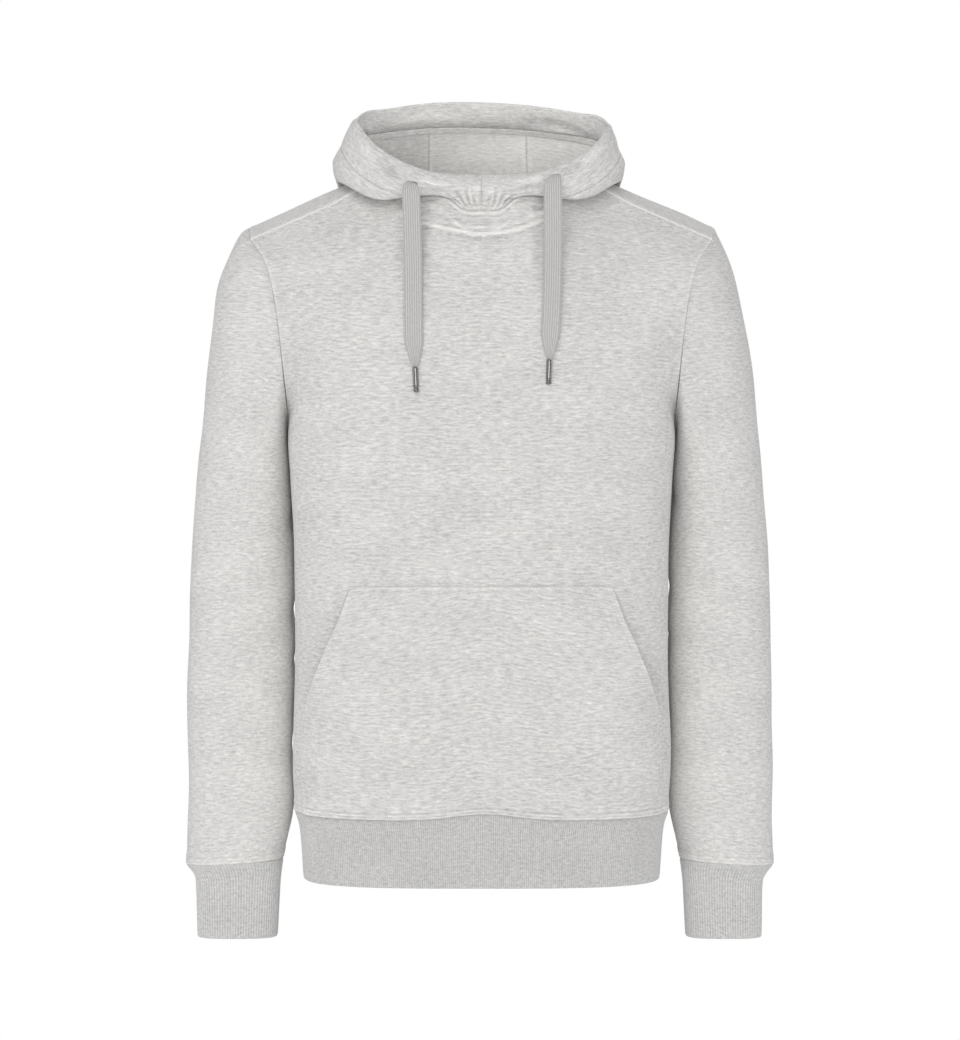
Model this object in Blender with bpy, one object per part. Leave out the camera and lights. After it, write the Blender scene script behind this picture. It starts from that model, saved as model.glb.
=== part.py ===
"""A pullover hoodie, filled out as if it were worn and open at the neck, hem and cuffs.

Front, back, two sleeves, rib cuffs and hem, a kangaroo pocket, a three-panel hood that lies open on the
shoulders, and two flat drawcords with metal tips. Each piece that is cut and sewn is its own closed solid.
Metres. +Z is up, the front faces -Y, and the origin is midway between the shoulder points at the neck.
Left and right are the viewer's, so the left sleeve is at -X.
"""

import math

import bpy
import numpy as np

# Cloth
WALL = 0.0020  # thickness of the fleece and of the rib
SEAM_GAP = 0.0003  # between two pieces that are sewn together
RIB_HEIGHT = 0.0008  # how far a rib stands out of its wall
MITRE_FROM = 0.4  # panels whose outsides agree more than this share the direction of their edge

# Torso
SIDE_Y = 0.004  # the side seams
TORSO_SQUARENESS = 3.2  # superellipse exponent of a level section
SEAM_Z = -0.6135  # hem seam at the sides and corners
SEAM_RISE = 0.0062  # the hem seam rides up in the middle of the front
SEAM_RISE_X = 0.003
SEAM_RISE_WIDTH = 0.042
SEAM_RISE_FADES = 0.060  # above the seam
FRONT_HALF = 13  # columns of a panel from its middle to its side
BACK_HALF = 15
FRONT_NECK = 6  # of those columns, the ones that end at the neck
BACK_NECK = 8
UPPER_ROWS = 12  # rows of a panel beside the armhole
RIBS_IN_COLUMN = 6  # points of the hem rib to one column of the panels above it, two to a rib

# Sleeves and cuffs
SLEEVE_SQUARENESS = 2.3
CUFF_SQUARENESS = 2.9
CAP_ROWS = 6  # rings in which the sleeve goes from the armhole's shape to a plain tube
CUFF_RIBS_IN_COLUMN = 3

# Hood
HOOD_HALF = 28  # columns from the centre front to the centre back
CENTRE_PANEL_HALF = 3  # columns from the centre back to the seam of the middle panel
NECK_ROWS = 4  # loops in which the hood goes from the neck seam's shape to its own
DROOP = 0.010  # how far the fold hangs lower where the drawcords pull on it
DROOP_AT = 42.0  # degrees from the centre front
DROOP_WIDTH = 17.0
LEAN = 0.020  # slope of the rim down to +X, which fades out below it
TURN = -0.008  # how far the rim's middle sits to +X at the back, which fades out too

# Pocket
POCKET_MOUTH_LIFT = 0.0110  # how far the mouth stands off the front
POCKET_LIFT = 0.0090  # the same for its middle
POCKET_TOP_ROW = 4  # row of the front panel at its top seam
POCKET_ROWS = (0, 0.4, 1, 2, 2.7, 3.4, 4)  # rows of the pocket, counted in rows of the front panel
POCKET_COLUMNS = 36  # a whole number of them to two columns of the panel, at its top and at its bottom

# Drawcords
CORD_WIDTH = 0.0170
CORD_THICKNESS = 0.0022
CORD_NARROW = 0.0046  # width where the cord goes into its tip
CORD_TAPER = 0.024
CORD_ROWS = 22
TIP_RADIUS = 0.0026
TIP_LENGTH = 0.0230
TIP_SIDES = 12

# Level sections from the hem seam up to the armpits: height, half width, y of the front and of the back.
TORSO = (
    (-0.6135, 0.1800, -0.1215, 0.1215),
    (-0.5700, 0.1818, -0.1245, 0.1250),
    (-0.5245, 0.1812, -0.1260, 0.1270),
    (-0.4600, 0.1798, -0.1270, 0.1290),
    (-0.3975, 0.1800, -0.1280, 0.1305),
    (-0.3450, 0.1815, -0.1280, 0.1315),
    (-0.2950, 0.1840, -0.1280, 0.1320),
    (-0.2500, 0.1862, -0.1270, 0.1320),
)

# Hem rib below the seam: height, half width, y of the front and of the back.
HEM = (
    (-0.6320, 0.1748, -0.1203, 0.1203),
    (-0.6775, 0.1714, -0.1193, 0.1193),
)

# Sections of the front above the armpits, from the middle out to the armhole, at these columns. The last
# one is the neck seam as far as FRONT_NECK and then the shoulder seam. Level orders the rows.
FRONT_COLUMNS = (0, 1, 2, 4, 6, 9, 13)
FRONT_SECTIONS = (
    # level, then x, y, z at each column
    (-0.200, (
        (0, -0.1245, -0.2000), (0.0180, -0.1244, -0.2000), (0.0360, -0.1242, -0.2000),
        (0.0720, -0.1225, -0.2000), (0.1070, -0.1180, -0.2000), (0.1510, -0.1030, -0.2020),
        (0.1874, -0.0620, -0.2050)
    )),
    (-0.145, (
        (0, -0.1185, -0.1450), (0.0170, -0.1184, -0.1450), (0.0340, -0.1180, -0.1450),
        (0.0680, -0.1155, -0.1435), (0.1020, -0.1090, -0.1410), (0.1475, -0.0965, -0.1385),
        (0.1950, -0.0720, -0.1360)
    )),
    (-0.088, (
        (0, -0.1060, -0.0880), (0.0160, -0.1058, -0.0875), (0.0320, -0.1048, -0.0860),
        (0.0630, -0.0975, -0.0810), (0.0980, -0.0810, -0.0740), (0.1470, -0.0740, -0.0800),
        (0.2060, -0.0620, -0.0900)
    )),
    (-0.043, (
        (0, -0.0850, -0.0430), (0.0175, -0.0850, -0.0422), (0.0325, -0.0835, -0.0305),
        (0.0630, -0.0700, -0.0270), (0.0950, -0.0340, -0.0115), (0.1490, -0.0345, -0.0348),
        (0.2215, -0.0330, -0.0660)
    )),
)

# The same for the back, which runs over the top of the shoulder to the seam in front of it.
BACK_COLUMNS = (0, 2, 4, 6, 8, 11, 15)
BACK_SECTIONS = (
    (-0.195, (
        (0, 0.1310, -0.1950), (0.0340, 0.1305, -0.1950), (0.0680, 0.1290, -0.1950),
        (0.1010, 0.1260, -0.1955), (0.1310, 0.1200, -0.1960), (0.1670, 0.1030, -0.1970),
        (0.1890, 0.0720, -0.2000)
    )),
    (-0.135, (
        (0, 0.1250, -0.1350), (0.0360, 0.1245, -0.1350), (0.0720, 0.1225, -0.1360),
        (0.1040, 0.1185, -0.1370), (0.1320, 0.1120, -0.1390), (0.1680, 0.0990, -0.1430),
        (0.1955, 0.0830, -0.1480)
    )),
    (-0.070, (
        (0, 0.1130, -0.0700), (0.0400, 0.1110, -0.0705), (0.0800, 0.1050, -0.0720),
        (0.1080, 0.0980, -0.0740), (0.1290, 0.0930, -0.0760), (0.1680, 0.0850, -0.0840),
        (0.2050, 0.0740, -0.0980)
    )),
    (-0.020, (
        (0, 0.0960, -0.0260), (0.0430, 0.0910, -0.0260), (0.0840, 0.0750, -0.0250),
        (0.1100, 0.0600, -0.0220), (0.1230, 0.0540, -0.0230), (0.1660, 0.0500, -0.0380),
        (0.2190, 0.0480, -0.0640)
    )),
    (0.020, (
        (0, 0.0840, -0.0060), (0.0420, 0.0775, -0.0055), (0.0790, 0.0520, -0.0040),
        (0.1000, 0.0230, -0.0010), (0.1060, 0.0100, -0.0005), (0.1550, 0.0110, -0.0185),
        (0.2255, 0.0120, -0.0505)
    )),
    (0.060, (
        (0, 0.0760, 0.0030), (0.0400, 0.0690, 0.0030), (0.0740, 0.0420, 0.0015),
        (0.0925, 0.0060, -0.0025), (0.0950, -0.0340, -0.0115), (0.1490, -0.0345, -0.0348),
        (0.2215, -0.0330, -0.0660)
    )),
)

# Rings of a sleeve from the armhole to the cuff seam: height and x of the outer edge (right, left), height
# and x of the inner edge, y of the middle, half depth. The first one is fitted to the armhole.
SLEEVE = (
    (-0.0505, 0.2255, 0.2255, -0.2500, 0.1862, 0.012, 0.080),
    (-0.0545, 0.2290, 0.2345, -0.2560, 0.1876, 0.013, 0.081),
    (-0.0640, 0.2352, 0.2420, -0.2620, 0.1877, 0.015, 0.081),
    (-0.0790, 0.2420, 0.2490, -0.2690, 0.1874, 0.017, 0.080),
    (-0.1050, 0.2495, 0.2575, -0.2790, 0.1868, 0.020, 0.079),
    (-0.1450, 0.2575, 0.2618, -0.2940, 0.1859, 0.024, 0.077),
    (-0.1950, 0.2650, 0.2680, -0.3170, 0.1848, 0.028, 0.074),
    (-0.2450, 0.2700, 0.2738, -0.3470, 0.1834, 0.031, 0.071),
    (-0.3000, 0.2757, 0.2793, -0.3820, 0.1822, 0.032, 0.067),
    (-0.3550, 0.2792, 0.2826, -0.4220, 0.1816, 0.032, 0.063),
    (-0.4150, 0.2812, 0.2846, -0.4670, 0.1815, 0.030, 0.060),
    (-0.4800, 0.2827, 0.2863, -0.5170, 0.1822, 0.028, 0.056),
    (-0.5450, 0.2835, 0.2868, -0.5670, 0.1832, 0.026, 0.052),
    (-0.6050, 0.2845, 0.2869, -0.6140, 0.1840, 0.023, 0.047),
    (-0.6700, 0.2842, 0.2875, -0.6640, 0.1938, 0.019, 0.040),
)

# Rings of a cuff below its seam, in the same columns.
CUFF = (
    (-0.6790, 0.2765, 0.2797, -0.6750, 0.1952, 0.017, 0.034),
    (-0.6900, 0.2730, 0.2775, -0.6890, 0.1966, 0.015, 0.0305),
    (-0.7385, 0.2722, 0.2760, -0.7385, 0.1990, 0.014, 0.0285),
)

# Loops of the hood from the neck seam, under itself, round the fold and up to the rim of the face opening:
# half width, y in front, at the side and at the back, the same for z, how fast it drops to the back, how far
# it sits to +X, and its share of the droop. The first one is fitted to the neck seam.
HOOD = (
    (0.0930, -0.0850, -0.004, 0.0760, -0.0430, -0.0020, 0.0030, 1.00, 0.0000, 0.0),
    (0.0915, -0.0865, 0.000, 0.0800, -0.0390, 0.0070, 0.0070, 1.00, 0.0000, 0.0),
    (0.0970, -0.0890, 0.003, 0.0890, -0.0355, 0.0110, 0.0070, 1.00, 0.0000, 0.0),
    (0.1130, -0.0910, 0.004, 0.1070, -0.0325, 0.0085, -0.0110, 1.50, -0.0005, 0.3),
    (0.1285, -0.0930, 0.006, 0.1300, -0.0300, 0.0010, -0.0620, 1.90, -0.0010, 0.8),
    (0.1375, -0.0943, 0.008, 0.1445, -0.0282, -0.0055, -0.1300, 1.90, -0.0017, 1.0),
    (0.1400, -0.0951, 0.010, 0.1495, -0.0270, -0.0025, -0.1800, 1.88, -0.0022, 1.0),
    (0.1413, -0.0957, 0.011, 0.1585, -0.0259, 0.0030, -0.2030, 1.85, -0.0025, 1.0),
    (0.1419, -0.0960, 0.012, 0.1740, -0.0249, 0.0085, -0.2090, 1.75, -0.0025, 0.9),
    (0.1420, -0.0962, 0.012, 0.1895, -0.0240, 0.0140, -0.1960, 1.68, -0.0025, 0.8),
    (0.1392, -0.0961, 0.013, 0.1985, -0.0228, 0.0205, -0.1480, 1.55, -0.0025, 0.6),
    (0.1352, -0.0956, 0.015, 0.2000, -0.0213, 0.0285, -0.0830, 1.46, -0.0021, 0.3),
    (0.1320, -0.0945, 0.017, 0.1850, -0.0194, 0.0375, -0.0120, 1.38, -0.0014, 0.1),
    (0.1286, -0.0930, 0.019, 0.1525, -0.0172, 0.0465, 0.0430, 1.36, -0.0006, 0.0),
    (0.1258, -0.0912, 0.021, 0.1240, -0.0149, 0.0550, 0.0690, 1.42, 0.0003, 0.0),
    (0.1228, -0.0890, 0.022, 0.1120, -0.0130, 0.0590, 0.0848, 1.58, 0.0010, 0.0),
)
HOOD_WIDTH_POWER = 0.92
FRONT_POWER = (0.76, 1.12)  # how y and z of a loop run from its side to its front
BACK_POWER = 0.88  # and y to its back
HOOD_COLUMNS = (0, 12, 16, 20, 24, 28)  # columns of the hood's half, and their angles from the front
HOOD_ANGLES = (0.0, 70.0, 95.0, 124.0, 152.0, 180.0)

# Mouth of the pocket: row of the front panel from the hem seam, and the column that the edge has there.
POCKET_EDGE = ((0.0, 9.0), (2.0, 9.0), (2.35, 8.15), (2.9, 7.25), (3.45, 6.5), (4.0, 6.0))

# Middle line of each drawcord from its buttonhole to the tip.
CORD_LEFT = (
    (-0.0655, -0.0998, -0.0190), (-0.0660, -0.1045, -0.0220), (-0.0660, -0.1075, -0.0290),
    (-0.0655, -0.1090, -0.0420), (-0.0650, -0.1095, -0.0600), (-0.0645, -0.1105, -0.0780),
    (-0.0640, -0.1135, -0.0960), (-0.0638, -0.1170, -0.1140), (-0.0636, -0.1200, -0.1320),
    (-0.0634, -0.1222, -0.1500), (-0.0630, -0.1240, -0.1680), (-0.0618, -0.1258, -0.1930),
)
CORD_RIGHT = (
    (0.0660, -0.0985, -0.0120), (0.0662, -0.1030, -0.0150), (0.0664, -0.1065, -0.0230),
    (0.0666, -0.1085, -0.0380), (0.0668, -0.1092, -0.0560), (0.0668, -0.1105, -0.0760),
    (0.0666, -0.1135, -0.0940), (0.0662, -0.1168, -0.1120), (0.0656, -0.1198, -0.1300),
    (0.0648, -0.1220, -0.1480), (0.0638, -0.1236, -0.1650), (0.0630, -0.1252, -0.1860),
)


def blend(keys, rows, at):
    """The rows at each place in at: a cubic through all of them, with slopes from the rows on both sides."""
    keys = np.asarray(keys, float)
    rows = np.asarray(rows, float)
    at = np.asarray(at, float)
    slopes = np.gradient(rows, keys, axis=0)
    i = np.clip(np.searchsorted(keys, at, side="right") - 1, 0, len(keys) - 2)
    like_rows = (-1,) + (1,) * (rows.ndim - 1)
    step = (keys[i + 1] - keys[i]).reshape(like_rows)
    t = ((at - keys[i]).reshape(like_rows)) / step
    start = (1 + 2 * t) * (1 - t) ** 2 * rows[i] + t * (1 - t) ** 2 * step * slopes[i]
    end = t * t * (3 - 2 * t) * rows[i + 1] + t * t * (t - 1) * step * slopes[i + 1]
    return start + end


def evenly(points, count):
    """A polyline with count segments of equal length along the given one."""
    steps = np.linalg.norm(np.diff(points, axis=0), axis=1)
    along = np.concatenate([[0], np.cumsum(steps)])
    at = np.linspace(0, along[-1], count + 1)
    return np.stack([np.interp(at, along, points[:, k]) for k in range(points.shape[1])], axis=1)


def half_section(height, half_width, middle_y, count):
    """The front or back half of a level section, from -X to +X."""
    turn = np.linspace(0, math.pi, 721)
    power = 2 / TORSO_SQUARENESS
    x = -half_width * np.sign(np.cos(turn)) * np.abs(np.cos(turn)) ** power
    y = SIDE_Y + (middle_y - SIDE_Y) * np.sin(turn) ** power
    return evenly(np.stack([x, y, np.full_like(x, height)], axis=1), count)


def mirrored_section(columns, points, half):
    """A section from -X to +X through points that are given for its +X half."""
    points = np.asarray(points, float)
    columns = np.asarray(columns, float)
    other = points[:0:-1] * (-1, 1, 1)
    return blend(
        np.concatenate([-columns[:0:-1], columns]),
        np.concatenate([other, points]),
        np.arange(-half, half + 1),
    )


def panel(half, side, columns, sections, levels):
    """Outside of the front or back panel: rows from the hem seam up, columns from -X to +X.

    side is the column of TORSO that gives the middle of a section.
    """
    keys = [row[0] for row in TORSO]
    rows = [half_section(row[0], row[1], row[side], 2 * half) for row in TORSO]
    for level, points in sections:
        keys.append(level)
        rows.append(mirrored_section(columns, points, half))
    return blend(keys, rows, levels)


def raise_hem_seam(points):
    """The hem seam rides up in the middle of the front, and the cloth above it follows less and less."""
    points = points.copy()
    near = np.clip(1 - np.abs(points[..., 2] - SEAM_Z) / SEAM_RISE_FADES, 0, 1)
    hump = np.exp(-(((points[..., 0] - SEAM_RISE_X) / SEAM_RISE_WIDTH) ** 2))
    points[..., 2] += np.where(points[..., 1] < SIDE_Y, SEAM_RISE * hump * near, 0)
    return points


def ring(row, left, squareness, count):
    """A ring of a sleeve or cuff, from its inner edge through the front to its outer edge and back."""
    outer_z, outer_right, outer_left, inner_z, inner_x, middle_y, half_depth = row
    inner = np.array((inner_x, middle_y, inner_z))
    outer = np.array((outer_left if left else outer_right, middle_y, outer_z))
    turn = np.linspace(0, 2 * math.pi, 961)
    power = 2 / squareness
    across = -np.sign(np.cos(turn)) * np.abs(np.cos(turn)) ** power
    deep = -np.sign(np.sin(turn)) * np.abs(np.sin(turn)) ** power
    loop = (inner + outer) / 2 + across[:, None] * (outer - inner) / 2
    loop[:, 1] += deep * half_depth
    return evenly(loop, count)[:-1] * ((-1, 1, 1) if left else (1, 1, 1))


def sleeve(armhole, left):
    """Outside of a sleeve: its first ring is the armhole, whose shape fades out over CAP_ROWS rings."""
    rings = np.array([ring(row, left, SLEEVE_SQUARENESS, len(armhole)) for row in SLEEVE])
    extra = armhole - rings[0]
    for k in range(len(rings)):
        share = max(0.0, 1 - k / CAP_ROWS)
        rings[k] += extra * share * share * (3 - 2 * share)
    return rings


def hood_loop(row):
    """One loop of the hood, from the centre front round the +X side and back."""
    half_width, front_y, side_y, back_y, front_z, side_z, back_z, drop, middle_x, droop = row
    angle = blend(HOOD_COLUMNS, HOOD_ANGLES, np.arange(HOOD_HALF + 1))
    sin = np.sin(np.radians(angle))
    cos = np.cos(np.radians(angle))
    ahead = np.clip(cos, 0, 1)
    behind = np.clip(-cos, 0, 1)
    x = half_width * np.clip(sin, 0, 1) ** HOOD_WIDTH_POWER
    y = side_y + (front_y - side_y) * ahead ** FRONT_POWER[0] + (back_y - side_y) * behind**BACK_POWER
    z = side_z + (front_z - side_z) * ahead ** FRONT_POWER[1] + (back_z - side_z) * behind**drop
    z -= DROOP * droop * np.exp(-(((angle - DROOP_AT) / DROOP_WIDTH) ** 2))
    lean = LEAN * x * (side_z / HOOD[-1][5]) ** 2
    aside = middle_x * (1 - ahead**8) + TURN * max(0.0, side_z / HOOD[-1][5]) ** 2 * behind**6
    right = np.stack([x + aside, y, z - lean], axis=1)
    left = np.stack([aside - x, y, z + lean], axis=1)
    return np.concatenate([right, left[-2:0:-1]])


def hood(neck):
    """Outside of the whole hood: its first loop is the neck seam, whose shape fades out over NECK_ROWS."""
    loops = np.array([hood_loop(row) for row in HOOD])
    extra = neck - loops[0]
    for k in range(len(loops)):
        share = max(0.0, 1 - k / NECK_ROWS)
        loops[k] += extra * share * share * (3 - 2 * share)
    return loops


def directions(points, closed, facing):
    """Unit vectors out of the cloth at each point of a grid of rows and columns."""
    along = np.gradient(points, axis=0)
    if closed:
        across = np.roll(points, -1, axis=1) - np.roll(points, 1, axis=1)
    else:
        across = np.gradient(points, axis=1)
    out = np.cross(across, along) * facing
    return out / np.linalg.norm(out, axis=2, keepdims=True)


def insides(pieces):
    """Inside points of each wall. Pieces that meet at a gentle angle share their edge's direction."""
    outs = {name: directions(*piece) for name, piece in pieces.items()}
    at = {}
    for name, piece in pieces.items():
        for index in np.ndindex(piece[0].shape[:2]):
            at.setdefault(tuple(np.round(piece[0][index], 6)), []).append((name, index))
    shared = {name: out.copy() for name, out in outs.items()}
    for places in at.values():
        for name, index in places:
            own = outs[name][index]
            total = own.copy()
            for other, place in places:
                if other != name:
                    total += outs[other][place] * min(1, max(0, outs[other][place] @ own / MITRE_FROM))
            shared[name][index] = total / np.linalg.norm(total)
    return {name: pieces[name][0] - WALL * shared[name] for name in pieces}


def off_edge(edge, beside):
    """Unit vectors square to an edge, towards the points beside it."""
    along = np.gradient(edge, axis=0)
    along /= np.linalg.norm(along, axis=1, keepdims=True)
    way = beside - edge
    way -= (way * along).sum(axis=1, keepdims=True) * along
    return way / np.linalg.norm(way, axis=1, keepdims=True)


def set_back(points, closed):
    """The grid with its open edges drawn in by half a seam's gap."""
    drawn = points.copy()
    for edge, beside in ((0, 1), (-1, -2)):
        drawn[edge] += off_edge(points[edge], points[beside]) * SEAM_GAP * 0.52
        if not closed:
            drawn[:, edge] += off_edge(points[:, edge], points[:, beside]) * SEAM_GAP * 0.52
    return drawn


def finer(points, times):
    """A closed grid with times points on each straight stretch between two of its columns."""
    following = np.roll(points, -1, axis=1)
    share = np.arange(times)[None, None, :, None] / times
    between = points[:, :, None] * (1 - share) + following[:, :, None] * share
    return between.reshape(len(points), -1, 3)


def look(name, colour, roughness, metallic=0.0):
    material = bpy.data.materials.new(name)
    material.use_nodes = True
    shader = material.node_tree.nodes["Principled BSDF"]
    shader.inputs["Base Color"].default_value = (*colour, 1)
    shader.inputs["Roughness"].default_value = roughness
    shader.inputs["Metallic"].default_value = metallic
    return material


def add(name, points, faces, material):
    """A closed solid with its faces pointing out."""
    mesh = bpy.data.meshes.new(name)
    mesh.from_pydata([tuple(p) for p in points], [], faces)
    mesh.calc_loop_triangles()
    corners = np.array([[mesh.vertices[i].co for i in t.vertices] for t in mesh.loop_triangles])
    volume = np.einsum("ij,ij->i", corners[:, 0], np.cross(corners[:, 1], corners[:, 2])).sum()
    if volume < 0:
        mesh.flip_normals()
    mesh.materials.append(material)
    mesh.shade_smooth()
    mesh.set_sharp_from_angle(angle=math.radians(50))
    thing = bpy.data.objects.new(name, mesh)
    bpy.data.collections["hoodie"].objects.link(thing)
    return thing


def strip(first, second, closed, turned=False):
    """Four-sided faces between two rows of point numbers. Turned ones face the other way."""
    count = len(first)
    last = count if closed else count - 1
    faces = [(first[i], first[(i + 1) % count], second[(i + 1) % count], second[i]) for i in range(last)]
    return [(face[0], face[3], face[2], face[1]) for face in faces] if turned else faces


def add_wall(name, outside, inside, closed, material):
    """A wall between two grids of the same size, closed along its open edges."""
    outside = set_back(outside, closed)
    inside = set_back(inside, closed)
    rows, columns = outside.shape[:2]
    numbers = np.arange(rows * columns).reshape(rows, columns)
    deeper = numbers + rows * columns
    faces = []
    for k in range(rows - 1):
        faces += strip(numbers[k], numbers[k + 1], closed)
        faces += strip(deeper[k + 1], deeper[k], closed)
    faces += strip(numbers[0], deeper[0], closed, turned=True)
    faces += strip(numbers[-1], deeper[-1], closed)
    if not closed:
        faces += strip(numbers[:, 0], deeper[:, 0], False)
        faces += strip(numbers[:, -1], deeper[:, -1], False, turned=True)
    points = np.concatenate([outside.reshape(-1, 3), inside.reshape(-1, 3)])
    return add(name, points, [tuple(int(i) for i in face) for face in faces], material)


def add_rib(name, outside, inside, facing, points_in_column, material):
    """A tube of rib from its seam down: ribs raised in the outer points over a plain inside."""
    out = finer(directions(outside, True, facing), points_in_column)
    fine = finer(set_back(outside, True), points_in_column)
    plain = set_back(inside, True)
    raised = np.arange(fine.shape[1]) % 2
    fine[1:] += out[1:] * (raised * RIB_HEIGHT)[None, :, None]
    rows, count = fine.shape[:2]
    columns = plain.shape[1]
    numbers = np.arange(rows * count).reshape(rows, count)
    deeper = np.arange(rows * columns).reshape(rows, columns) + rows * count
    faces = []
    for k in range(rows - 1):
        faces += strip(numbers[k], numbers[k + 1], True)
        faces += strip(deeper[k + 1], deeper[k], True)
    for row, way in ((0, 1), (-1, -1)):
        for i in range(columns):
            run = [numbers[row, (i * points_in_column + j) % count] for j in range(points_in_column + 1)]
            faces.append(([deeper[row, i], deeper[row, (i + 1) % columns]] + run[::-1])[::way])
    points = np.concatenate([fine.reshape(-1, 3), plain.reshape(-1, 3)])
    return add(name, points, [tuple(int(i) for i in face) for face in faces], material)


def on_panel(grid, row, column):
    """A place on a grid's flat faces, by fractions of its rows and columns."""
    i = int(min(row, len(grid) - 2))
    j = int(min(column, grid.shape[1] - 2))
    s = row - i
    t = column - j
    low = grid[i, j] * (1 - t) + grid[i, j + 1] * t
    high = grid[i + 1, j] * (1 - t) + grid[i + 1, j + 1] * t
    return low * (1 - s) + high * s


def pocket(front, out):
    """Inside and outside of the pocket, from the front panel's points moved out.

    It is sewn down along its top, its lower sides and the hem seam, and stands off at its two mouths.
    """
    edge_rows = [row for row, column in POCKET_EDGE]
    edge_columns = [column for row, column in POCKET_EDGE]
    inside = []
    for row in POCKET_ROWS:
        half = float(np.interp(row, edge_rows, edge_columns))
        up = row / POCKET_TOP_ROW
        mouth = math.sin(math.pi * min(1, max(0, (row - 2) / 2)))
        line = []
        for across in np.linspace(-1, 1, POCKET_COLUMNS + 1):
            at = FRONT_HALF + across * half
            place = on_panel(front, row, at)
            away = on_panel(out, row, at)
            middle = (1 - across**4) * POCKET_LIFT * math.sin(math.pi * up) ** 0.6
            edge = across**4 * POCKET_MOUTH_LIFT * mouth
            line.append(place + away / np.linalg.norm(away) * (SEAM_GAP + middle + edge))
        inside.append(line)
    inside = np.array(inside)
    outside = inside + WALL * directions(inside, False, 1)
    return inside, outside


def add_cord(name, route, material):
    """A flat cord: a band of rounded section along its route, narrow where it goes into its tip."""
    line = evenly(blend(np.arange(len(route)), route, np.linspace(0, len(route) - 1, 200)), CORD_ROWS)
    along = np.gradient(line, axis=0)
    along /= np.linalg.norm(along, axis=1, keepdims=True)
    sideways = np.cross(along, (0, -1, 0))
    sideways /= np.linalg.norm(sideways, axis=1, keepdims=True)
    out = np.cross(sideways, along)
    length = np.linalg.norm(np.diff(line, axis=0), axis=1).sum()
    left_over = np.linspace(length, 0, CORD_ROWS + 1)
    share = np.clip(left_over / CORD_TAPER, 0, 1)
    half_width = (CORD_NARROW + (CORD_WIDTH - CORD_NARROW) * share**0.8) / 2
    turn = np.linspace(0, 2 * math.pi, 8, endpoint=False) + math.pi / 8
    wide = np.sign(np.cos(turn)) * np.abs(np.cos(turn)) ** 0.35 / math.cos(math.pi / 8) ** 0.35
    thick = np.sign(np.sin(turn)) * np.abs(np.sin(turn)) ** 0.8
    section = wide[None, :, None] * (sideways * half_width[:, None])[:, None]
    section = section + thick[None, :, None] * (out * CORD_THICKNESS / 2)[:, None]
    points = line[:, None] + section
    numbers = np.arange(points.shape[0] * 8).reshape(-1, 8)
    faces = [tuple(int(i) for i in numbers[0]), tuple(int(i) for i in numbers[-1][::-1])]
    for k in range(len(numbers) - 1):
        faces += [tuple(int(i) for i in face) for face in strip(numbers[k + 1], numbers[k], True)]
    add(name, points.reshape(-1, 3), faces, material)
    return line


def add_tip(name, line, material):
    """The metal tube on a cord's end, closed below by a small ball."""
    way = line[-1] - line[-2]
    way /= np.linalg.norm(way)
    start = line[-1] + way * SEAM_GAP
    side = np.cross(way, (0, -1, 0))
    side /= np.linalg.norm(side)
    out = np.cross(side, way)
    profile = (
        # along the tip, radius
        (0.0, TIP_RADIUS * 0.86),
        (0.0006, TIP_RADIUS),
        (TIP_LENGTH - 0.0056, TIP_RADIUS),
        (TIP_LENGTH - 0.0047, TIP_RADIUS * 0.84),
        (TIP_LENGTH - 0.0036, TIP_RADIUS * 1.06),
        (TIP_LENGTH - 0.0014, TIP_RADIUS * 0.98),
        (TIP_LENGTH, TIP_RADIUS * 0.42),
    )
    turn = np.linspace(0, 2 * math.pi, TIP_SIDES, endpoint=False)
    spokes = np.cos(turn)[:, None] * side + np.sin(turn)[:, None] * out
    points = np.array([start + way * along + spokes * radius for along, radius in profile])
    numbers = np.arange(len(profile) * TIP_SIDES).reshape(-1, TIP_SIDES)
    faces = [tuple(int(i) for i in numbers[0]), tuple(int(i) for i in numbers[-1][::-1])]
    for k in range(len(profile) - 1):
        faces += [tuple(int(i) for i in face) for face in strip(numbers[k + 1], numbers[k], True)]
    add(name, points.reshape(-1, 3), faces, material)


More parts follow.
